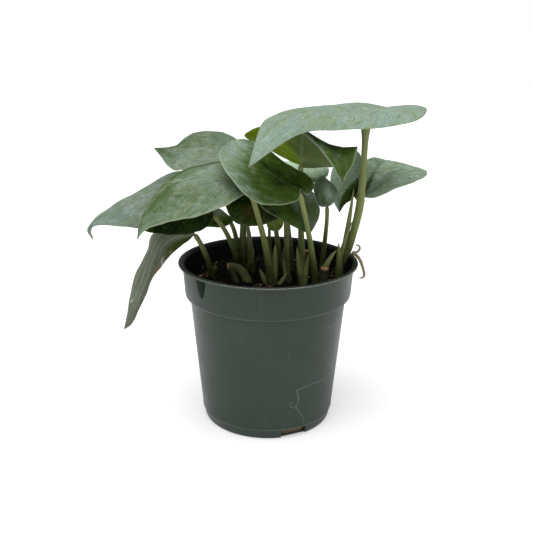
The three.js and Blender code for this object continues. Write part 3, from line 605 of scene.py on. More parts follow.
def curve_through(points, share):
    """A smooth curve through places, read by the share of its length: from each place to the next by
    3t^2 - 2t^3, plus the heading at the first by t(1-t)^2 less that at the second by t^2(1-t)."""
    points = np.asarray(points, float)
    steps = np.linalg.norm(np.diff(points, axis=0), axis=1)
    marks = np.concatenate([[0], np.cumsum(steps)])
    numbers = np.arange(len(points))
    before = np.maximum(numbers - 1, 0)
    after = np.minimum(numbers + 1, len(points) - 1)
    headings = (points[after] - points[before]) / (marks[after] - marks[before])[:, None]
    length = np.asarray(share) * marks[-1]
    i = np.clip(np.searchsorted(marks, length) - 1, 0, len(points) - 2)
    span = steps[i][..., None]
    t = (length[..., None] - marks[i][..., None]) / span
    ease = t * t * (3 - 2 * t)
    result = points[i] * (1 - ease) + points[i + 1] * ease
    return result + span * t * (1 - t) * (headings[i] * (1 - t) - headings[i + 1] * t)


def blade_places(blade, along, across, side, wobble):
    """Places on the right (0) or left (1) half of a blade, and how far they are from the midrib. Along
    runs round the margin from the notch to the tip, across from the midrib to the margin; a row joins
    the margin at along to the midrib at along^1.5. Each half swells by sin(pi across) times the root
    of sin(pi along), and the margin ripples with across cubed."""
    midrib, *margins, face, swell = blade
    rib = curve_through(midrib, along**RIB_PACE)
    reach = curve_through([midrib[0], *margins[side], midrib[-1]], along) - rib
    breadth = np.sqrt(np.clip(np.sin(np.pi * along), 0, 1))
    first, second = wobble
    ripple = np.sin(2 * np.pi * (4.3 * along + first)) + 0.6 * np.sin(2 * np.pi * (9.1 * along + second))
    rise = swell[side] * np.sin(np.pi * across) + MARGIN_RIPPLE * ripple * across**3
    result = rib + reach * across[..., None] + unit(np.array(face, float)) * (rise * breadth)[..., None]
    return result, np.linalg.norm(reach, axis=-1) * across


def build_blade(name, settings, materials):
    """A closed blade: the grid of places moved out to both faces along its normal, thinner at the
    margin, with a groove along the midrib above and a rib below, closed by a strip at the margin."""
    share = 2 / 3 if name in SMALL_BLADES else 1
    rows, columns = int(settings.rows * share), int(settings.columns * share)
    number = list(BLADES).index(name)
    even = np.linspace(0, 1, rows + 1)
    notch_to_tip = np.clip(0.5 * even**ROW_PACE + 0.25 * (1 - np.cos(np.pi * even)), 0, 1)
    signed = np.linspace(-1, 1, 2 * columns + 1)
    along, across = np.meshgrid(notch_to_tip, np.abs(signed) ** 1.3, indexing="ij")
    wobble = (0.37 * number % 1, 0.61 * number % 1)
    right, distance_right = blade_places(BLADES[name], along, across, 0, wobble)
    left, distance_left = blade_places(BLADES[name], along, across, 1, wobble)
    on_left = (signed < 0)[None, :]
    middle = np.where(on_left[..., None], left, right)
    distance = np.where(on_left, distance_left, distance_right)
    place = along**RIB_PACE + (along - along**RIB_PACE) * across**1.4
    normals = unit(np.cross(np.gradient(middle, axis=1), np.gradient(middle, axis=0)))
    normals[0] = normals[1, columns]
    normals[-1] = normals[-2, columns]
    rib = bell(distance, 0, RIB_BREADTH) * (1 - 0.75 * place)
    vein = along - VEIN_SWEEP * across
    quilt = QUILT_HEIGHT * np.sin(2 * QUILT_WAVES * np.pi * vein) * np.sin(np.pi * across)
    quilt = quilt * smooth_step(0, 6, distance)
    half = settings.thickness / 2 * (1 - 0.45 * across**3)
    upper = middle + normals * (half - GROOVE_DEPTH * rib + quilt)[..., None]
    lower = middle - normals * (half + RIB_DEPTH * rib - quilt)[..., None]

    def both_faces(top, low):
        """The rows between the ends on the upper and the lower face, then the four end points."""
        ends = [top[0, columns], top[-1, columns], low[0, columns], low[-1, columns]]
        width = top.shape[-1]
        return np.concatenate([top[1:-1].reshape(-1, width), low[1:-1].reshape(-1, width), ends])

    width = 2 * columns + 1
    low = (rows - 1) * width
    top_faces = grid_quads(rows - 1, width)
    near = np.arange(0, low - width, width)
    far = near + width
    rim_left = np.stack([near, far, far + low, near + low], axis=-1)
    rim_right = np.roll(rim_left[:, ::-1], 1, axis=1) + width - 1
    quads = np.concatenate([top_faces, top_faces[:, ::-1] + low, rim_left, rim_right])
    first_top, last_top, first_low, last_low = 2 * low + np.arange(4)
    first = np.arange(width)
    last = first + low - width
    fans = [
        fan(first_top, first),
        fan(last_top, last)[:, ::-1],
        fan(first_low, low + first)[:, ::-1],
        fan(last_low, low + last),
    ]
    caps = [
        [first_top, first[0], low],
        [first_top, low, first_low],
        [first_top, low + first[-1], first[-1]],
        [first_top, first_low, low + first[-1]],
        [last[0], last_top, last_low],
        [last[0], last_low, low + last[0]],
        [last[-1], low + last[-1], last_low],
        [last[-1], last_low, last_top],
    ]
    edge = 2 * len(near) + 2 * len(fans[0])
    counts = [len(top_faces), len(top_faces), edge, 2 * len(fans[0]), len(caps)]
    kinds = np.repeat([0, 1, 0, 1, 0], counts)
    uv = np.stack([0.5 + 0.5 * np.sign(signed) * across, along], axis=-1)
    tone = blade_tone(name, along, across, place, on_left)
    arrays = both_faces(upper, lower), quads, np.concatenate([*fans, caps]), both_faces(uv, uv)
    title = name.replace("leaf_", "blade_")
    return make_piece(title, materials, *arrays, tone=both_faces(tone, tone), kinds=kinds)


def blade_tone(name, along, across, place, on_left):
    """Silver, brown and pale amounts: silver per half with its soft patches, each a bell curve of its
    place, some of them painted shade; brown at the last few hundredths of the midrib and in a few
    spots; pale at the margin."""
    silver_right, silver_left, brown_tip, pale = LOOKS[name]
    signed = np.where(on_left, -across, across)
    silver = silver_left + (silver_right - silver_left) * smooth_step(-0.1, 0.1, signed)
    for side, spot, broad, long, amount in PATCHES_AND_PAINTED_SHADE.get(name, ()):
        silver = silver + amount * bell(signed, side, broad) * bell(place, spot, long)
    brown = brown_tip * smooth_step(0.975, 0.995, place)
    rim = pale * smooth_step(0.94, 0.985, across)
    if name == "leaf_hanging_left":
        tear = bell(along, 0.47, 0.05, 4) * smooth_step(0.78, 0.92, across)
        spot = bell(along, 0.3, 0.012) * bell(across, 0.75, 0.1)
        brown = np.maximum(brown, np.where(on_left, np.maximum(tear, 0.8 * spot), 0))
        gap = bell(along, 0.4, 0.01) * smooth_step(0.6, 0.72, across)
        fleck = bell(along, 0.8, 0.008) * bell(across, 0.7, 0.08)
        rim = np.clip(rim + np.where(on_left, 2 * gap, 2 * fleck), 0, 1)
    if name == "leaf_dark":
        patch = bell(place, 0.5, 0.13) * bell(across, 0.62, 0.2)
        brown = np.maximum(brown, np.where(on_left, 0.4 * patch, 0))
    return np.stack([np.clip(silver, 0, 1), brown, rim], axis=-1)


# Rods.


def rod_arrays(places, radii, sides, reference, section=np.ones_like):
    """A closed rod: a ring of points round each place, across and other square to the heading, with
    the radius times section(angle). Its uv is the turn and the share of its length."""
    heading = unit(np.gradient(places, axis=0))
    across = unit(reference - heading * (heading @ reference)[:, None])
    other = np.cross(heading, across)
    angle = circle(sides)
    spread = radii[:, None] * section(angle)
    rings = (
        places[:, None, :]
        + (spread * np.cos(angle))[..., None] * across[:, None, :]
        + (spread * np.sin(angle))[..., None] * other[:, None, :]
    )
    share, turn = np.meshgrid(np.linspace(0, 1, len(places)), angle / (2 * np.pi), indexing="ij")
    uv = np.concatenate([np.stack([turn, share], axis=-1).reshape(-1, 2), [[0.5, 0.0], [0.5, 1.0]]])
    return *close_rings(rings, places[0], places[-1]), uv


def stalk_arrays(stalk, settings, number):
    """A stalk: radius top + (foot - top)(1-t)^2.2, a flare or slight knee below the blade, rings
    left by old sheaths near the foot, and a shallow channel along one side."""
    *path, foot, top, flare = stalk
    t = np.linspace(0, 1, settings.steps)
    rings = bell((t * STALK_RINGS + 0.37 * number) % 1, 0.5, 0.08) * smooth_step(0.42, 0.12, t)
    radii = top + (foot - top) * (1 - t) ** 2.2
    radii = radii + (flare - top) * np.clip((t - 0.85) / 0.15, 0, None) ** 2
    radii = radii * (1 + 0.14 * bell(t, 0.95, 0.025)) + RING_HEIGHT * rings
    turn = 1.9 + 0.8 * number

    def channelled(angle):
        """A dent at the turn with a low ridge beside it."""
        away = np.abs((angle - turn + np.pi) % (2 * np.pi) - np.pi)
        return 1 - CHANNEL_DEPTH * bell(away, 0, 0.42) + 0.04 * bell(away, 0.75, 0.25)

    places = bezier(path, t)
    heading = unit(places[-1] - places[-2])
    places = np.concatenate([places, places[-1] + heading * np.array([[0.4], [0.8], [1.1]])])
    radii = np.concatenate([radii, radii[-1] * np.array([0.92, 0.7, 0.4])])
    arrays = rod_arrays(places, radii, settings.sides, SIDEWAYS, channelled)
    height = arrays[3][:, 1]
    return *arrays, np.stack([0 * height, height, np.interp(height, t, rings)], axis=-1)


def sheath_arrays(sheath, settings):
    """A pointed sheath: radius foot (1-t)^0.8 plus a blunt end, flattened to a lens, with a keel."""
    *path, foot = sheath
    t = np.linspace(0, 1, settings.steps // 2)
    radii = foot * (1 - t) ** 0.8 + SHEATH_TIP * np.sqrt(1 - t**4) + 0.02

    def lens(angle):
        """Wide across, narrow through, with the keel at one side."""
        return 0.72 + 0.33 * np.cos(angle) ** 2 + 0.06 * bell(angle, 4.7, 0.3)

    arrays = rod_arrays(bezier(path, t), radii, settings.sides, SIDEWAYS, lens)
    height = arrays[3][:, 1]
    return *arrays, np.stack([1 + 0 * height, height, 0 * height], axis=-1)


def stub_arrays(name, settings):
    """A stump: straight taper, ringed skin, the cut end hollowed and rimmed in steps. The bud is
    round-ended instead: radius by the root of 1 - t^2.4."""
    *path, foot, top = STUBS[name]
    steps = settings.steps
    t = np.linspace(0, 1, steps)
    places = bezier(path, t)
    if name == "bud_left":
        radii = foot * np.sqrt(np.clip(1 - t**2.4, 0.02, 1)) * (1 + 0.08 * np.sin(9 * t))
    else:
        radii = foot + (top - foot) * t + STUMP_RING_HEIGHT * bell((t * 5) % 1, 0.5, 0.12)
        heading = unit(places[-1] - places[-3])
        places = np.concatenate([places, places[-1] + heading * np.array([[0.06], [-0.22], [-0.3]])])
        radii = np.concatenate([radii, top * np.array([0.82, 0.55, 0.2])])
    arrays = rod_arrays(places, radii, settings.sides, REARWARD)
    rows = np.arange(len(places))
    index = np.concatenate([np.repeat(rows, settings.sides), rows[:1], rows[-1:]])
    end = smooth_step(0.9 * steps, 0.96 * steps, index) if name != "bud_left" else 0.0 * index
    return *arrays, np.stack([end, arrays[3][:, 1], 0 * end], axis=-1)


def root_arrays(settings):
    """The root over the rim: a slim knotty taper that sways aside, and its plain second curl."""
    t = np.linspace(0, 1, settings.steps)
    knots = (1 + 0.1 * np.sin(31 * t) * np.sin(13 * t)) * np.sqrt(np.clip(1.02 - t**12, 0.02, 1))
    places = bezier(ROOT_PATH, t)
    places[:, 0] += 0.3 * np.sin(9 * t) * t * (1 - t) * 4
    limbs = [
        (places, (ROOT_FOOT + (ROOT_TIP - ROOT_FOOT) * t) * knots),
        (bezier(ROOT_CURL, t), ROOT_TIP * (1.1 - 0.5 * t**3)),
    ]
    rods = [rod_arrays(*limb, ROOT_SIDES, REARWARD) for limb in limbs]
    return join_arrays([(*rod, rod[0]) for rod in rods])[:4]


# Materials.


def shade(colour, share):
    """A colour times one share, or times one share each for red, green and blue."""
    return tuple(np.multiply(tuple(colour), share))


class Channel:
    """A number worked out in a material. Sums, differences and products of it add Math nodes."""

    def __init__(self, nodes, socket):
        self.nodes = nodes
        self.socket = socket

    def math(self, operation, other=0.0):
        """Any operation of the Math node."""
        return Channel(self.nodes, self.nodes.add("ShaderNodeMath", self, other, operation=operation))

    def __add__(self, other):
        return self.math("ADD", other)

    def __sub__(self, other):
        return self.math("SUBTRACT", other)

    def __mul__(self, other):
        return self.math("MULTIPLY", other)

    def ramp(self, low, high, most=1.0, least=0.0):
        """Least at low, most at high, smooth between."""
        entries = (self, low, high, least, most)
        kind = {"interpolation_type": "SMOOTHSTEP"}
        return Channel(self.nodes, self.nodes.add("ShaderNodeMapRange", *entries, **kind))


class Nodes:
    """Short ways to add and link the nodes of one material."""

    def __init__(self, name):
        self.material = bpy.data.materials.new(name)
        self.material.use_nodes = True
        self.tree = self.material.node_tree
        self.shader = self.tree.nodes["Principled BSDF"]
        self.place = self.add("ShaderNodeTexCoord", output="Object")

    def put(self, socket, value):
        """Links a channel or a socket to a socket, or sets a number or a colour on it."""
        value = value.socket if isinstance(value, Channel) else value
        if isinstance(value, bpy.types.NodeSocket):
            self.tree.links.new(value, socket)
        elif socket.type == "RGBA":
            socket.default_value = (*value, 1)
        else:
            socket.default_value = value

    def add(self, kind, *entries, output=0, named=(), **values):
        """A new node with its settings and its inputs, in order or by name; gives one output."""
        node = self.tree.nodes.new(kind)
        for key, value in values.items():
            setattr(node, key, value)
        for key, entry in (*enumerate(entries), *dict(named).items()):
            self.put(node.inputs[key], entry)
        return node.outputs[output]

    def mix(self, share, first, second, kind="MIX"):
        """The first colour turned to the second by a share."""
        sides = {6: first, 7: second}
        values = {"data_type": "RGBA", "blend_type": kind}
        return self.add("ShaderNodeMix", share, output=2, named=sides, **values)

    def coats(self, colour, *layers):
        """A colour with others laid over it in turn, each by its own share."""
        for share, coat in layers:
            colour = self.mix(share, colour, coat)
        return colour

    def stretched(self, *scale):
        """The place in space, scaled along each axis."""
        return self.add("ShaderNodeMapping", self.place, named={"Scale": scale})

    def noise(self, scale, detail, roughness, distortion=0.0, source=None):
        """Noise over the place in space, or over another source."""
        named = {"Scale": scale, "Detail": detail, "Roughness": roughness, "Distortion": distortion}
        source = self.place if source is None else source
        return Channel(self, self.add("ShaderNodeTexNoise", source, named=named))

    def split(self, source, kind="XYZ"):
        """The three parts of a vector or a colour."""
        node = self.add(f"ShaderNodeSeparate{kind}", source).node
        return [Channel(self, socket) for socket in node.outputs]

    def growth(self):
        """Across and along on a blade."""
        return self.split(self.add("ShaderNodeUVMap", uv_map="growth"))[:2]

    def tone(self):
        """The three amounts that the mesh carries at each point."""
        return self.split(self.add("ShaderNodeAttribute", output="Color", attribute_name="tone"), "Color")

    def bump(self, height, strength, distance):
        """Small relief on the skin, with its distance in metres."""
        named = {"Strength": strength, "Distance": distance, "Height": height}
        self.put(self.shader.inputs["Normal"], self.add("ShaderNodeBump", named=named))

    def finish(self, colour, roughness, specular=0.5):
        """Sets the shader's inputs and gives the material."""
        self.put(self.shader.inputs["Base Color"], colour)
        self.put(self.shader.inputs["Roughness"], roughness)
        self.put(self.shader.inputs["Specular IOR Level"], specular)
        return self.material


def vein_lines(along, wander, count, width):
    """Lines at equal steps of along, nudged by wander: 1 on a line, 0 away from it."""
    return (along * count + wander).math("PINGPONG", 0.5).ramp(width, 0.0)


def leaf_streaks(nodes):
    """Noise drawn out along the side veins, which leave the midrib and sweep towards the tip: the
    vein a point lies on is along less a share of across. Gives across, vein and three fineness steps."""
    spread, along = nodes.growth()
    across = (spread * 2.0 - 1.0).math("ABSOLUTE")
    vein = along - across * VEIN_SWEEP + (nodes.noise(45, 3, 0.6) - 0.5) * 0.07
    layers = []
    for lines, length, start in STREAKS:
        source = nodes.add("ShaderNodeCombineXYZ", vein * lines, spread * length, start)
        layers.append(nodes.noise(1.0, 4, 0.6, source=source))
    return across, vein, layers


def upper_skin(name, settings, tint=(1.0, 1.0, 1.0), fresh=None):
    """Silver film over green skin: with little silver the skin goes from deep to fresh green, with
    more the film closes over it in clouds and streaks; the tip dries brown, the margin is pale."""
    nodes = Nodes(name)
    across, vein, (bands, streaks, strokes) = leaf_streaks(nodes)
    silver_amount, brown_amount, pale_amount = nodes.tone()
    cloud = nodes.noise(150, 6, 0.68, 0.6)
    fine = nodes.noise(1300, 3, 0.6)
    veins = vein_lines(vein, bands * 0.5, 12.0, 0.07)
    midrib = across.ramp(0.03, 0.005)
    film = silver_amount + (streaks - 0.5) * 0.45 + (cloud - 0.5) * 0.7 + (strokes - 0.5) * 0.3
    silver = shade(settings.silver, tint)
    cool = shade(silver, (0.95, 1.02, 1.02))
    warm = shade(silver, (0.9, 0.93, 0.68))
    bright = shade(silver, (1.4, 1.33, 1.45))
    silvered = nodes.coats(
        cool,
        (bands.ramp(0.4, 0.62), warm),
        (bands.ramp(0.44, 0.3, 0.4), shade(cool, 0.6)),
        (cloud.ramp(0.5, 0.7, 0.5), bright),
        (strokes.ramp(0.5, 0.36, 0.6), shade(warm, 0.5)),
        (streaks.ramp(0.5, 0.34, 0.35), shade(warm, 0.6)),
        (fine.ramp(0.55, 0.68) * cloud.ramp(0.42, 0.6, 1.0, 0.25), shade(bright, 1.25)),
    )
    green = fresh or settings.fresh
    colour = nodes.coats(
        shade(green, 0.8) if fresh else settings.green,
        (film.ramp(-0.05, 0.38), green),
        (cloud.ramp(0.45, 0.7, 0.18), shade(green, 1.6)),
        (film.ramp(0.28, 0.95), silvered),
        (veins * 0.22 + midrib * 0.25, shade(cool, 0.4)),
        (pale_amount * 0.6, (0.42, 0.5, 0.33)),
        (brown_amount * fine.ramp(0.2, 0.55, 1.0, 0.5), (0.15, 0.06, 0.02)),
    )
    nodes.bump(streaks * 0.4 + fine * 0.2 + cloud * 0.5 - veins * 0.2, 0.3, 0.0006)
    return nodes.finish(colour, cloud * 0.25 + 0.38, 0.08)


def ribbed_skin():
    """The hanging blade that shows its dull side: grey olive, with pale ribs from the stalk to the
    tip at uneven steps of across, green where it has no silver, which near the stalk is painted
    shade, brown and dry at the tear."""
    nodes = Nodes("ribbed_leaf")
    silver_amount, brown_amount, pale_amount = nodes.tone()
    spread, along = nodes.growth()
    cloud = nodes.noise(170, 4, 0.65)
    fine = nodes.noise(1100, 3, 0.6)
    source = nodes.add("ShaderNodeCombineXYZ", spread * 60.0, along * 2.0, 4.0)
    grain = nodes.noise(1.0, 3, 0.6, source=source)
    ribs = vein_lines(spread + along * 0.1, nodes.noise(60, 3, 0.6) * 1.6, 6.5, 0.11)
    dull = nodes.coats(
        (0.12, 0.14, 0.09),
        (cloud.ramp(0.4, 0.65), (0.15, 0.185, 0.13)),
        (grain.ramp(0.35, 0.7, 0.5), (0.22, 0.235, 0.185)),
        (ribs * 0.75, (0.36, 0.36, 0.3)),
    )
    dry = nodes.mix(cloud.ramp(0.35, 0.5), (0.16, 0.06, 0.02), (0.4, 0.27, 0.11))
    colour = nodes.coats(
        (0.02, 0.04, 0.004),
        (grain, (0.07, 0.11, 0.02)),
        (silver_amount.ramp(0.25, 0.8), dull),
        (pale_amount, (0.5, 0.5, 0.44)),
        (brown_amount * fine.ramp(0.2, 0.55, 1.0, 0.6), dry),
    )
    nodes.bump(ribs * 0.8 + grain * 0.4, 0.4, 0.0006)
    return nodes.finish(colour, cloud * 0.2 + 0.5, 0.08)


def under_skin(name, base, other):
    """Matt underside: streaked along the side veins, which stand out a little paler, as does the
    midrib; the base colour turns to the other one where the upper side has no silver. On the
    arched blade these two colours paint light shining through against half shade."""
    nodes = Nodes(name)
    across, vein, (bands, streaks, strokes) = leaf_streaks(nodes)
    silver_amount, brown_amount, _ = nodes.tone()
    fine = nodes.noise(800, 3, 0.6)
    veins = vein_lines(vein, bands * 0.5, 10.0, 0.1)
    turn = silver_amount.ramp(0.36, 0.52)
    light, dark = (nodes.mix(turn, shade(other, share), shade(base, share)) for share in (1.25, 0.75))
    colour = nodes.coats(
        dark,
        (bands.ramp(0.3, 0.7), light),
        (strokes * 0.25, light),
        (veins * 0.2 + across.ramp(0.06, 0.01) * 0.3, tuple(1.5 * c + 0.02 for c in other)),
        (brown_amount, (0.13, 0.07, 0.03)),
    )
    nodes.bump(veins * 0.6 + streaks * 0.4 + fine * 0.3, 0.4, 0.0005)
    return nodes.finish(colour, fine * 0.2 + 0.45, 0.06)


def stalk_skin(settings):
    """Satin olive skin: long fibres, pale towards the top and darker towards the foot, browned on the
    rings, sheaths drier with tan edges."""
    nodes = Nodes("stalk_skin")
    sheath, share, ring = nodes.tone()
    fibres = nodes.noise(1600, 4, 0.6, source=nodes.stretched(1.0, 1.0, 0.12))
    patches = nodes.noise(160, 4, 0.65)
    specks = nodes.noise(1500, 2, 0.5)
    colour = nodes.coats(
        shade(settings.stalk, 0.6),
        (fibres, shade(settings.stalk, 1.5)),
        (patches.ramp(0.45, 0.7, 0.5), (0.09, 0.13, 0.03)),
        (share.ramp(0.3, 0.95, 0.6), (0.3, 0.32, 0.13)),
        (share.ramp(0.5, 0.12) * patches.ramp(0.25, 0.6, 1.0, 0.35), (0.04, 0.05, 0.015)),
        (sheath * share.ramp(0.25, 0.9, 0.6, 0.05), (0.24, 0.24, 0.1)),
        (ring * 0.6, (0.09, 0.06, 0.03)),
        (specks.ramp(0.66, 0.72, 0.7), (0.03, 0.025, 0.015)),
    )
    nodes.bump(fibres * 0.6 + patches * 0.5, 0.3, 0.0004)
    return nodes.finish(colour, patches * 0.25 + 0.34, 0.14)


def stump_skin(settings, name, share):
    """Green skin, lighter or darker by a share, with a dry tan cut end; the darker copy paints shade."""
    nodes = Nodes(name)
    patches = nodes.noise(260, 4, 0.65)
    grain = nodes.noise(1400, 4, 0.6)
    cut = nodes.mix(grain, shade(settings.cut, 0.6), shade(settings.cut, 1.3))
    colour = nodes.coats(
        shade((0.04, 0.052, 0.01), share),
        (patches, shade((0.2, 0.21, 0.06), share)),
        (nodes.tone()[0], cut),
    )
    nodes.bump(grain, 0.45, 0.0005)
    return nodes.finish(colour, grain * 0.3 + 0.45)


def grained_skin(name, low, high, grain, relief, roughness, specular=0.5):
    """A skin of two colours by fine noise, which also gives its relief: dry root, pale scratches,
    and dark specks with a painted reflection of a leaf."""
    nodes = Nodes(name)
    noise = nodes.noise(*grain)
    nodes.bump(noise, *relief)
    return nodes.finish(nodes.mix(noise, low, high), roughness, specular)


def pot_plastic(settings, name, share, specular):
    """Moulded green plastic: gloss broken by smudges and fine upright flow marks, with dust. The two
    seam lines are drawn paler, the front edge of the lip carries a painted highlight, and a copy
    darker by the share paints the shade inside the pot."""
    nodes = Nodes(name)
    _, y, z = nodes.split(nodes.place)
    smudge = nodes.noise(28, 5, 0.6)
    flow = nodes.noise(260, 4, 0.6, source=nodes.stretched(1.0, 1.0, 0.1))
    dust = nodes.noise(1300, 3, 0.6)
    skin = nodes.noise(420, 2, 0.5)
    base = shade(settings.colour, share)
    layers = [
        (smudge, shade(base, 1.3)),
        (dust.ramp(0.66, 0.76, 0.22), (0.25, 0.27, 0.23)),
        (flow.ramp(0.55, 0.8, 0.12), (0.12, 0.15, 0.12)),
    ]
    for height in (BAND_BOTTOM * MM, FOOT_SEAM * MM):
        line = (z - height).math("ABSOLUTE").ramp(0.0004, 0.0001)
        layers.append((line * smudge.ramp(0.3, 0.6, 0.4, 0.1), (0.2, 0.24, 0.2)))
    lip = POT_HEIGHT * MM
    # A painted highlight along the front edge of the lip, broken up by the dust noise.
    painted_lip_highlight = z.ramp(lip - 0.0007, lip - 0.0004) * z.ramp(lip, lip - 0.0002)
    painted_lip_highlight = painted_lip_highlight * y.ramp(0.0, -0.03) * dust.ramp(0.35, 0.6, 0.85, 0.3)
    layers.append((painted_lip_highlight, (0.3, 0.33, 0.27)))
    layers.append((z.ramp(lip - 0.0003, lip - 0.0001, 0.6), shade(base, 0.3)))
    nodes.bump(skin * 0.5 + flow * 0.3, 0.12, 0.0004)
    roughness = smudge.ramp(0.3, 0.75, 0.1, -0.06) + settings.matt + flow * 0.08
    return nodes.finish(nodes.coats(shade(base, 0.8), *layers), roughness, specular)


def potting_mix(settings):
    """Damp crumbly mix: near black, with brown fibre and a few pale grains, and tan in the slots."""
    nodes = Nodes("potting_mix")
    clods = nodes.noise(240, 6, 0.7)
    fibre = nodes.noise(1300, 4, 0.7, source=nodes.stretched(1.0, 0.3, 1.0))
    grains = nodes.noise(1100, 2, 0.5)
    height = nodes.split(nodes.place)[2]
    colour = nodes.coats(
        shade(settings.mix, 0.5),
        (clods, shade(settings.mix, 2.2)),
        (fibre.ramp(0.6, 0.75, 0.6), (0.05, 0.03, 0.015)),
        (grains.ramp(0.72, 0.76, 0.8), settings.grit),
        (height.ramp(0.012, 0.009), nodes.mix(clods, (0.05, 0.03, 0.015), (0.26, 0.17, 0.1))),
    )
    nodes.bump(clods + fibre * 0.5, 0.9, 0.0015)
    return nodes.finish(colour, 0.92, 0.1)


def crumb_skin(settings):
    """Loose crumbs, from damp black mix through bark to pale grit by the crumb's own tone."""
    nodes = Nodes("crumb_skin")
    tone = nodes.tone()[0]
    grain = nodes.noise(1500, 4, 0.65)
    kinds = ((tone.ramp(0.5, 0.75), settings.bark), (tone.ramp(0.9, 0.94), settings.grit))
    colour = nodes.coats(settings.mix, *kinds)
    colour = nodes.mix(grain * 0.6, colour, (0.02, 0.012, 0.008), "MULTIPLY")
    nodes.bump(grain, 0.7, 0.0005)
    return nodes.finish(colour, 0.85, 0.15)


# Pot and mix.


def rounded(profile, radius, pieces=4):
    """Every inner corner of a profile cut by a short quadratic curve of about that radius."""
    profile = np.asarray(profile, float)
    result = [profile[:1]]
    for before, corner, after in zip(profile[:-2], profile[1:-1], profile[2:]):
        reach = min(radius, 0.45 * math.dist(before, corner), 0.45 * math.dist(after, corner))
        ends = corner + reach * unit(np.array([before, after]) - corner)
        result.append(bezier([ends[0], corner, ends[1]], np.linspace(0, 1, pieces)))
    return np.concatenate([*result, profile[-1:]])


def pot_profile():
    """Outside from the axis up to the lip, then inside back down to the axis."""
    outside = [
        [0, 0],
        [FOOT_RADIUS - 0.6, 0],
        [FOOT_RADIUS, 0.6],
        [BODY_LOW_RADIUS - 0.3, FOOT_SEAM - 0.4],
        [BODY_LOW_RADIUS + SEAM_RISE, FOOT_SEAM],
        [BODY_LOW_RADIUS + 0.1, FOOT_SEAM + 0.5],
        [BODY_TOP_RADIUS, BAND_BOTTOM - BAND_LEDGE],
        [BAND_LOW_RADIUS - 0.4, BAND_BOTTOM],
        [BAND_LOW_RADIUS, BAND_BOTTOM + 1.5],
        [BAND_TOP_RADIUS, POT_HEIGHT - LIP_DEPTH],
        [RIM_RADIUS - 0.4, POT_HEIGHT - 1.4],
        [RIM_RADIUS, POT_HEIGHT - 1],
        [RIM_RADIUS, POT_HEIGHT - 0.4],
        [RIM_RADIUS - 0.4, POT_HEIGHT],
    ]
    inside = [
        [RIM_INNER_RADIUS, POT_HEIGHT],
        [BAND_TOP_RADIUS - WALL, POT_HEIGHT - LIP_DEPTH],
        [BAND_LOW_RADIUS - WALL, BAND_BOTTOM + 2],
        [BODY_TOP_RADIUS - WALL, BAND_BOTTOM - 1],
        [BODY_LOW_RADIUS - WALL, FOOT_SEAM],
        [FOOT_RADIUS - WALL, PLATE],
        [0, PLATE],
    ]
    return outside + inside


def outer_radius(height):
    """Radius of the pot's outside at a height, for marks that lie on it."""
    radius, level = np.array(pot_profile()[1:13], float).T
    return np.interp(height, level, radius)


def wall_middle(height):
    """Radius of the middle of the pot's wall at a height: the outside less half the wall, and less
    the lip's own step at the lip."""
    return outer_radius(height) - WALL / 2 - LIP_STEP * (height > POT_HEIGHT - LIP_DEPTH)


def mark_arrays(track, width, lift=MARK_LIFT, blunt=False):
    """A flat thread on the pot's outside along points of angle in degrees and height: a closed strip
    four points wide that stands lift proud of the wall, drawn out thin at both ends or at the last."""
    turns, heights = np.array(track, float).T
    numbers = np.arange(len(track))
    spots = np.linspace(0, numbers[-1], 12 * numbers[-1] + 1)
    angle = np.radians(np.interp(spots, numbers, turns))
    wobble = 0.25 * np.sin(spots * 2.7) + 0.15 * np.sin(spots * 6.1)
    height = np.interp(spots, numbers, heights) + wobble
    share = np.linspace(0.5 if blunt else 0.02, 0.98, len(spots))
    places = around(outer_radius(height), angle, height)
    outward = around(1, angle, 0)
    across = unit(np.cross(outward, unit(np.gradient(places, axis=0))))
    half = across * (0.5 * width * np.sqrt(np.sin(np.pi * share)))[:, None]
    rise = outward * lift
    corners = [half - rise, -half - rise, rise - 0.6 * half, rise + 0.6 * half]
    arrays = close_rings(places[:, None] + np.stack(corners, axis=1), places[0], places[-1])
    return *arrays, np.zeros((len(arrays[0]), 2)), np.zeros((len(arrays[0]), 3))


def cut_slots(piece):
    """Cuts the drain slots through the corner of the foot with one turned box each."""
    box = np.array(list(itertools.product((-1, 1), repeat=3)), float)
    box = box * [DRAIN_DEPTH, DRAIN_WIDTH / 2, DRAIN_TOP] + [FOOT_RADIUS + 1, 0, 0]
    faces = [[0, 1, 3, 2], [4, 6, 7, 5], [0, 4, 5, 1], [2, 3, 7, 6], [0, 2, 6, 4], [1, 5, 7, 3]]
    boxes = []
    for number in range(DRAIN_SLOTS):
        angle = math.radians(DRAIN_FIRST_ANGLE + 360 * number / DRAIN_SLOTS)
        cosine, sine = math.cos(angle), math.sin(angle)
        turn = np.array([[cosine, -sine, 0], [sine, cosine, 0], [0, 0, 1]])
        boxes.append(make_piece(f"slot_{number}", [], box @ turn.T, faces))
        cutter = piece.modifiers.new("slot", "BOOLEAN")
        cutter.operation = "DIFFERENCE"
        cutter.solver = "EXACT"
        cutter.object = boxes[-1]
    bpy.context.view_layer.update()
    cut = piece.evaluated_get(bpy.context.evaluated_depsgraph_get())
    mesh = bpy.data.meshes.new_from_object(cut)
    piece.modifiers.clear()
    piece.data = mesh
    for spent in boxes:
        bpy.data.objects.remove(spent)


def mix_surface(radius, angle):
    """Height of the potting mix: level, with broad and small lumps, a little lower at the wall."""
    x, y = radius * np.cos(angle), radius * np.sin(angle)
    lumps = 0.6 * np.sin(x * 0.31 + 1.2) * np.cos(y * 0.27 + 0.4)
    lumps = lumps + 0.35 * np.sin(x * 0.83 + y * 0.61) + 0.25 * np.cos(x * 1.7 - y * 1.3)
    return SOIL_LEVEL + lumps - 0.5 * smooth_step(44, 50, radius)


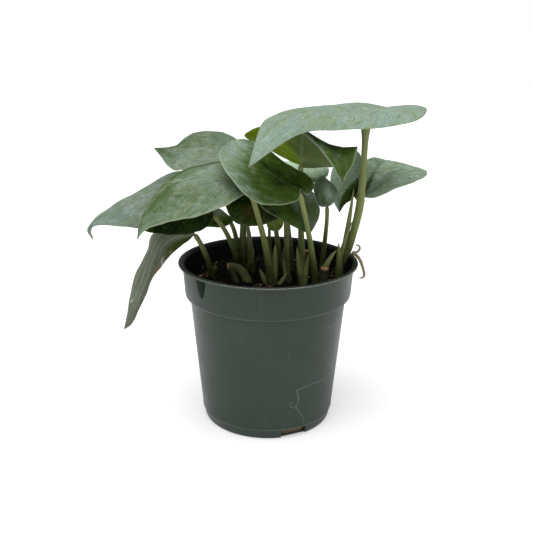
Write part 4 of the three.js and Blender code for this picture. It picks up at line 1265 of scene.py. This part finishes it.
def mix_arrays(segments=144, rings=64):
    """The filling: up the pot's inner wall, then rings inward over the lumpy surface."""
    low = PLATE + GAP
    side = [
        [FOOT_RADIUS - WALL - 2 * GAP, low],
        [BODY_LOW_RADIUS - WALL - GAP, FOOT_SEAM + 0.5],
        [BODY_TOP_RADIUS - WALL - 2 * GAP, BAND_BOTTOM - 1],
        [BAND_LOW_RADIUS - WALL - 2 * GAP, BAND_BOTTOM + 6],
    ]
    angle = circle(segments)
    rows = [around(radius, angle, height) for radius, height in side]
    random = np.random.default_rng(MIX_SEED)
    for ring in range(rings):
        radius = (BAND_LOW_RADIUS - WALL - GAP) * (1 - ring / rings)
        height = mix_surface(radius, angle) + random.uniform(-0.3, 0.3, segments) * (radius > 2)
        rows.append(around(radius, angle, height))
    return close_rings(np.stack(rows), [0, 0, low], [0, 0, SOIL_LEVEL])


def twenty_sides():
    """The corners and faces of a twenty-sided lump: the corners are 0, 1 and the golden ratio with
    every sign, in three turns, and a face joins three corners that are near each other."""
    golden = (1 + 5**0.5) / 2
    signs = [(a, b * golden) for a in (-1, 1) for b in (-1, 1)]
    corners = [[0, a, b] for a, b in signs] + [[a, b, 0] for a, b in signs] + [[b, 0, a] for a, b in signs]
    corners = unit(np.array(corners, float))
    faces = []
    for a, b, c in itertools.combinations(range(len(corners)), 3):
        trio = corners[[a, b, c]]
        if np.linalg.norm(trio - np.roll(trio, 1, axis=0), axis=1).max() < 1.1:
            out = np.dot(np.cross(trio[1] - trio[0], trio[2] - trio[0]), trio.sum(0)) > 0
            faces.append([a, b, c] if out else [a, c, b])
    return corners, np.array(faces)


def crumb_arrays(count):
    """Loose crumbs: twenty-sided lumps, stretched, turned and shrunk at random, half sunk in the
    mix, with a random tone each. Those of a heap are drawn together, and rise by 1 - radius / reach."""
    random = np.random.default_rng(CRUMB_SEED)
    corners, faces = twenty_sides()
    radius = CRUMB_REACH * np.sqrt(random.uniform(0, 1, count))
    angle = random.uniform(0, 2 * np.pi, count)
    size = random.uniform(0.25, 0.6, count) + 0.8 * random.uniform(0, 1, count) ** 6
    stretch = random.uniform(0.6, 1.4, (count, 1, 3)) * size[:, None, None]
    lumps = corners[None] * stretch * random.uniform(0.85, 1.15, (count, len(corners), 1))
    first = unit(random.normal(size=(count, 3)))
    second = unit(np.cross(first, random.normal(size=(count, 3))))
    lumps = lumps @ np.stack([first, second, np.cross(first, second)], axis=1)
    x, y = radius * np.cos(angle), radius * np.sin(angle)
    heap = np.arange(count) % HEAP_SHARE
    in_heap = heap < len(HEAPS)
    for number, (heap_x, heap_y, spread) in enumerate(HEAPS):
        x = np.where(heap == number, heap_x + spread * x / CRUMB_REACH, x)
        y = np.where(heap == number, heap_y + 0.6 * spread * y / CRUMB_REACH, y)
    height = mix_surface(np.hypot(x, y), np.arctan2(y, x)) + 0.15 * size
    height = height + HEAP_RISE * (1 - radius / CRUMB_REACH) * in_heap
    points = (lumps + np.stack([x, y, height], axis=-1)[:, None]).reshape(-1, 3)
    triangles = faces[None] + len(corners) * np.arange(count)[:, None, None]
    kind = random.uniform(0, 1, count)
    keeps = random.uniform(0, 1, count) < 0.25 + smooth_step(30, 46, radius)
    kind = np.where((kind > 0.9) & ~keeps, 0.6, kind)
    kind = np.where(in_heap, 0.45 + 0.55 * random.uniform(0, 1, count), kind)
    return points, triangles, np.repeat(kind, len(corners))[:, None]


# Operators.


class PLANT_OT_pot(bpy.types.Operator):
    """Builds the nursery pot with its lip, seams, drain slots and scuffs"""

    bl_idname = "plant.pot"
    bl_label = "Nursery Pot"

    def execute(self, context):
        settings = context.scene.plant_pot
        profile = rounded(pot_profile(), settings.lip_round)
        rings = around(profile[1:-1, :1], circle(settings.segments), profile[1:-1, 1:])
        points, quads, triangles = close_rings(rings, [0, *profile[0]], [0, *profile[-1]])
        x, y, z = points[quads].mean(axis=1).T
        inside = (z > PLATE) & (np.hypot(x, y) < wall_middle(z))
        kinds = np.concatenate([inside.astype(int), np.zeros(len(triangles), int)])
        # The inside of the pot gets a darker, duller copy of the plastic: painted shade.
        skins = [
            pot_plastic(settings, "pot_plastic", share=1.0, specular=0.2),
            pot_plastic(settings, "pot_inside_painted_shade", share=0.35, specular=0.1),
        ]
        pot = make_piece("nursery_pot", skins, points, quads, triangles, kinds=kinds)
        cut_slots(pot)
        dress(pot, "pot_plastic", "pot")
        pale = (0.1, 0.13, 0.11), (0.3, 0.34, 0.3)
        looks = {"grain": (1500, 3, 0.6), "relief": (0.3, 0.0002), "roughness": 0.6}
        skin = grained_skin("scuff_mark", *pale, **looks)
        scuffs = [mark_arrays(*scratch) for scratch in SCRATCHES]
        dress(make_piece("pot_scuffs", [skin], *join_arrays(scuffs)), "pot_plastic")
        # Dark specks on the pot, and a painted reflection of a leaf on its glossy side.
        dark = (0.003, 0.011, 0.006), (0.008, 0.024, 0.014)
        looks = {"grain": (500, 3, 0.6), "relief": (0.2, 0.0002), "roughness": 0.4}
        skin = grained_skin("speck_and_reflection_skin", *dark, **looks, specular=0.05)
        specks_and_reflection = [mark_arrays(PAINTED_REFLECTION, PAINTED_REFLECTION_WIDTH, PAINTED_REFLECTION_LIFT, True)]
        for angle, height, long, width in SPECKS:
            specks_and_reflection.append(mark_arrays([[angle, height], [angle + long, height - 0.4]], width))
        dress(make_piece("pot_specks_and_reflection", [skin], *join_arrays(specks_and_reflection)), "pot_plastic")
        return {"FINISHED"}


class PLANT_OT_mix(bpy.types.Operator):
    """Builds the potting mix and the loose crumbs on it"""

    bl_idname = "plant.mix"
    bl_label = "Potting Mix"

    def execute(self, context):
        settings = context.scene.plant_soil
        filling = make_piece("filling", [potting_mix(settings)], *mix_arrays())
        dress(filling, "potting_mix", "soil")
        points, triangles, tone = crumb_arrays(settings.crumbs)
        crumbs = make_piece("crumbs", [crumb_skin(settings)], points, [], triangles, tone=tone)
        crumbs.data.shade_flat()
        dress(crumbs, "potting_mix")
        return {"FINISHED"}


class PLANT_OT_blades(bpy.types.Operator):
    """Builds every leaf blade with its silvered upper side and its underside"""

    bl_idname = "plant.blades"
    bl_label = "Leaf Blades"

    def execute(self, context):
        settings = context.scene.plant_leaf
        plain = upper_skin("silvered_leaf", settings)
        young = upper_skin("young_leaf", settings, fresh=settings.young)
        under = under_skin("leaf_underside", settings.under, settings.under)
        # The arched blade's underside: bright paints light shining through it, olive paints half shade.
        bright = under_skin("bright_underside", settings.bright, settings.olive)
        skins = {
            "leaf_young": [young, young],
            "leaf_hanging_left": [ribbed_skin(), under],
            "leaf_arched": [plain, bright],
        }
        for name, tint in TINTS_AND_PAINTED_LIGHT.items():
            skins[name] = [upper_skin(name.replace("leaf_", "silvered_"), settings, tint), under]
        for name in BLADES:
            blade = build_blade(name, settings, skins.get(name, [plain, under]))
            dress(blade, "young_leaf" if name == "leaf_young" else "leaf", name)
        return {"FINISHED"}


class PLANT_OT_stalks(bpy.types.Operator):
    """Builds the stalks and the pointed sheaths of every growth point"""

    bl_idname = "plant.stalks"
    bl_label = "Stalks and Sheaths"

    def execute(self, context):
        settings = context.scene.plant_stem
        skin = stalk_skin(settings)
        for number, (name, stalks) in enumerate(STALKS.items()):
            parts = [stalk_arrays(stalk, settings, number + i) for i, stalk in enumerate(stalks)]
            parts += [sheath_arrays(sheath, settings) for sheath in SHEATHS.get(name, ())]
            piece = make_piece(name.replace("stem_", "stalk_"), [skin], *join_arrays(parts))
            dress(piece, "stem", name)
        return {"FINISHED"}


class PLANT_OT_stumps(bpy.types.Operator):
    """Builds the cut stumps, the bud and the aerial root"""

    bl_idname = "plant.stumps"
    bl_label = "Stumps and Root"

    def execute(self, context):
        settings = context.scene.plant_stem
        light = stump_skin(settings, "stump_skin", 1.0)
        # A darker copy of the stump skin paints the shade on limb_left and stub_right.
        dark = stump_skin(settings, "stump_skin_painted_shade", 0.25)
        titles = {"bud_left": "swelling_bud", "limb_left": "limb_left"}
        for name in STUBS:
            skin = dark if name in ("limb_left", "stub_right") else light
            title = titles.get(name, name.replace("stub_", "stump_"))
            piece = make_piece(title, [skin], *stub_arrays(name, settings))
            nodes = [] if name == "limb_left" else [name]
            dress(piece, "cut_stem", *nodes)
        dry = shade(settings.root, 0.45), shade(settings.root, 1.4)
        looks = {"grain": (900, 4, 0.65), "relief": (0.6, 0.0004), "roughness": 0.7}
        skin = grained_skin("root_skin", *dry, **looks)
        dress(make_piece("rim_root", [skin], *root_arrays(settings)), "aerial_root", "aerial_root")
        return {"FINISHED"}


class PLANT_OT_stage(bpy.types.Operator):
    """Sets the pale floor, the soft studio light and the camera"""

    bl_idname = "plant.stage"
    bl_label = "Floor, Light and Camera"

    def execute(self, context):
        settings = context.scene.plant_stage
        scene = context.scene
        corners = np.array([[-1, -1, 0], [1, -1, 0], [1, 1, 0], [-1, 1, 0]]) * FLOOR_REACH
        nodes = Nodes("pale_floor")
        nodes.put(nodes.shader.inputs["Emission Color"], (1.0, 1.0, 1.0))
        nodes.put(nodes.shader.inputs["Emission Strength"], FLOOR_GLOW)
        skin = nodes.finish(settings.floor, 0.8)
        floor = make_piece("floor", [skin], corners - [0, 0, FLOOR_DEPTH], [[0, 1, 2, 3]])
        scene.world = white_surround(settings.sky)
        light = bpy.data.lights.new("top_light", "SUN")
        light.energy = settings.top
        light.angle = settings.softness
        lamp = bpy.data.objects.new("top_light", light)
        back = unit(np.array(LIGHT_FROM))
        side = unit(np.cross(REARWARD, back))
        lamp.matrix_world = turned(side, np.cross(back, side), back, (0.0, 0.0, 1.0))
        scene.collection.objects.link(lamp)
        scene.camera = make_camera(scene)
        scene.view_settings.view_transform = "Standard"
        return {"FINISHED"}


def white_surround(strength):
    """A world that lights the scene by its strength and is plain white to the camera."""
    world = bpy.data.worlds.new("surround")
    world.use_nodes = True
    tree = world.node_tree
    dim = tree.nodes["Background"]
    white = tree.nodes.new("ShaderNodeBackground")
    for node, value in ((dim, strength), (white, 1.0)):
        node.inputs["Color"].default_value = (1, 1, 1, 1)
        node.inputs["Strength"].default_value = value
    seen = tree.nodes.new("ShaderNodeLightPath")
    blend = tree.nodes.new("ShaderNodeMixShader")
    tree.links.new(seen.outputs["Is Camera Ray"], blend.inputs[0])
    tree.links.new(dim.outputs[0], blend.inputs[1])
    tree.links.new(white.outputs[0], blend.inputs[2])
    tree.links.new(blend.outputs[0], tree.nodes["World Output"].inputs["Surface"])
    return world


def turned(right, up, back, place):
    """The matrix whose columns are the three axes and the place."""
    matrix = np.eye(4)
    matrix[:3] = np.stack([right, up, back, place], axis=1)
    return Matrix(matrix.tolist())


def make_camera(scene):
    """The camera at the photograph's place: yaw about the upright, pitch down, then roll."""
    yaw, pitch, roll = np.radians([CAMERA_YAW, CAMERA_PITCH, CAMERA_ROLL])
    level = np.array([math.cos(yaw), -math.sin(yaw), 0.0])
    ahead = np.array([math.sin(yaw), math.cos(yaw), 0.0]) * math.cos(pitch)
    ahead[2] = -math.sin(pitch)
    upright = np.cross(level, ahead)
    right = level * math.cos(roll) - upright * math.sin(roll)
    up = level * math.sin(roll) + upright * math.cos(roll)
    data = bpy.data.cameras.new("view")
    data.lens = CAMERA_LENS
    data.sensor_width = CAMERA_SENSOR
    data.clip_start = 0.01
    camera = bpy.data.objects.new("view", data)
    camera.matrix_world = turned(right, up, -ahead, np.array(CAMERA_PLACE) * MM)
    scene.collection.objects.link(camera)
    return camera


class PLANT_PT_panel(bpy.types.Panel):
    """Lists the plant's pieces and their settings"""

    bl_label = "Potted Plant"
    bl_idname = "PLANT_PT_panel"
    bl_space_type = "VIEW_3D"
    bl_region_type = "UI"
    bl_category = "Potted Plant"

    def draw(self, context):
        for key, _, *operators in PARTS:
            box = self.layout.box()
            settings = getattr(context.scene, key)
            for name in settings.__annotations__:
                box.prop(settings, name)
            for operator in operators:
                box.operator(operator.bl_idname)


# The settings of each part and the operators that use them, in the order of building.
PARTS = (
    ("plant_stage", StageSettings, PLANT_OT_stage),
    ("plant_pot", PotSettings, PLANT_OT_pot),
    ("plant_soil", SoilSettings, PLANT_OT_mix),
    ("plant_stem", StemSettings, PLANT_OT_stalks, PLANT_OT_stumps),
    ("plant_leaf", LeafSettings, PLANT_OT_blades),
)


def register():
    """Registers the settings, the operators and the panel."""
    for key, *classes in PARTS:
        for kind in classes:
            bpy.utils.register_class(kind)
        setattr(bpy.types.Scene, key, bpy.props.PointerProperty(type=classes[0]))
    bpy.utils.register_class(PLANT_PT_panel)


def unregister():
    """Takes the panel, the settings and the operators away again."""
    bpy.utils.unregister_class(PLANT_PT_panel)
    for key, *classes in reversed(PARTS):
        delattr(bpy.types.Scene, key)
        for kind in reversed(classes):
            bpy.utils.unregister_class(kind)


def main():
    """Registers everything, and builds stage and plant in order."""
    register()
    for _, _, *operators in PARTS:
        for operator in operators:
            group, name = operator.bl_idname.split(".")
            getattr(getattr(bpy.ops, group), name)()


if __name__ == "__main__":
    main()
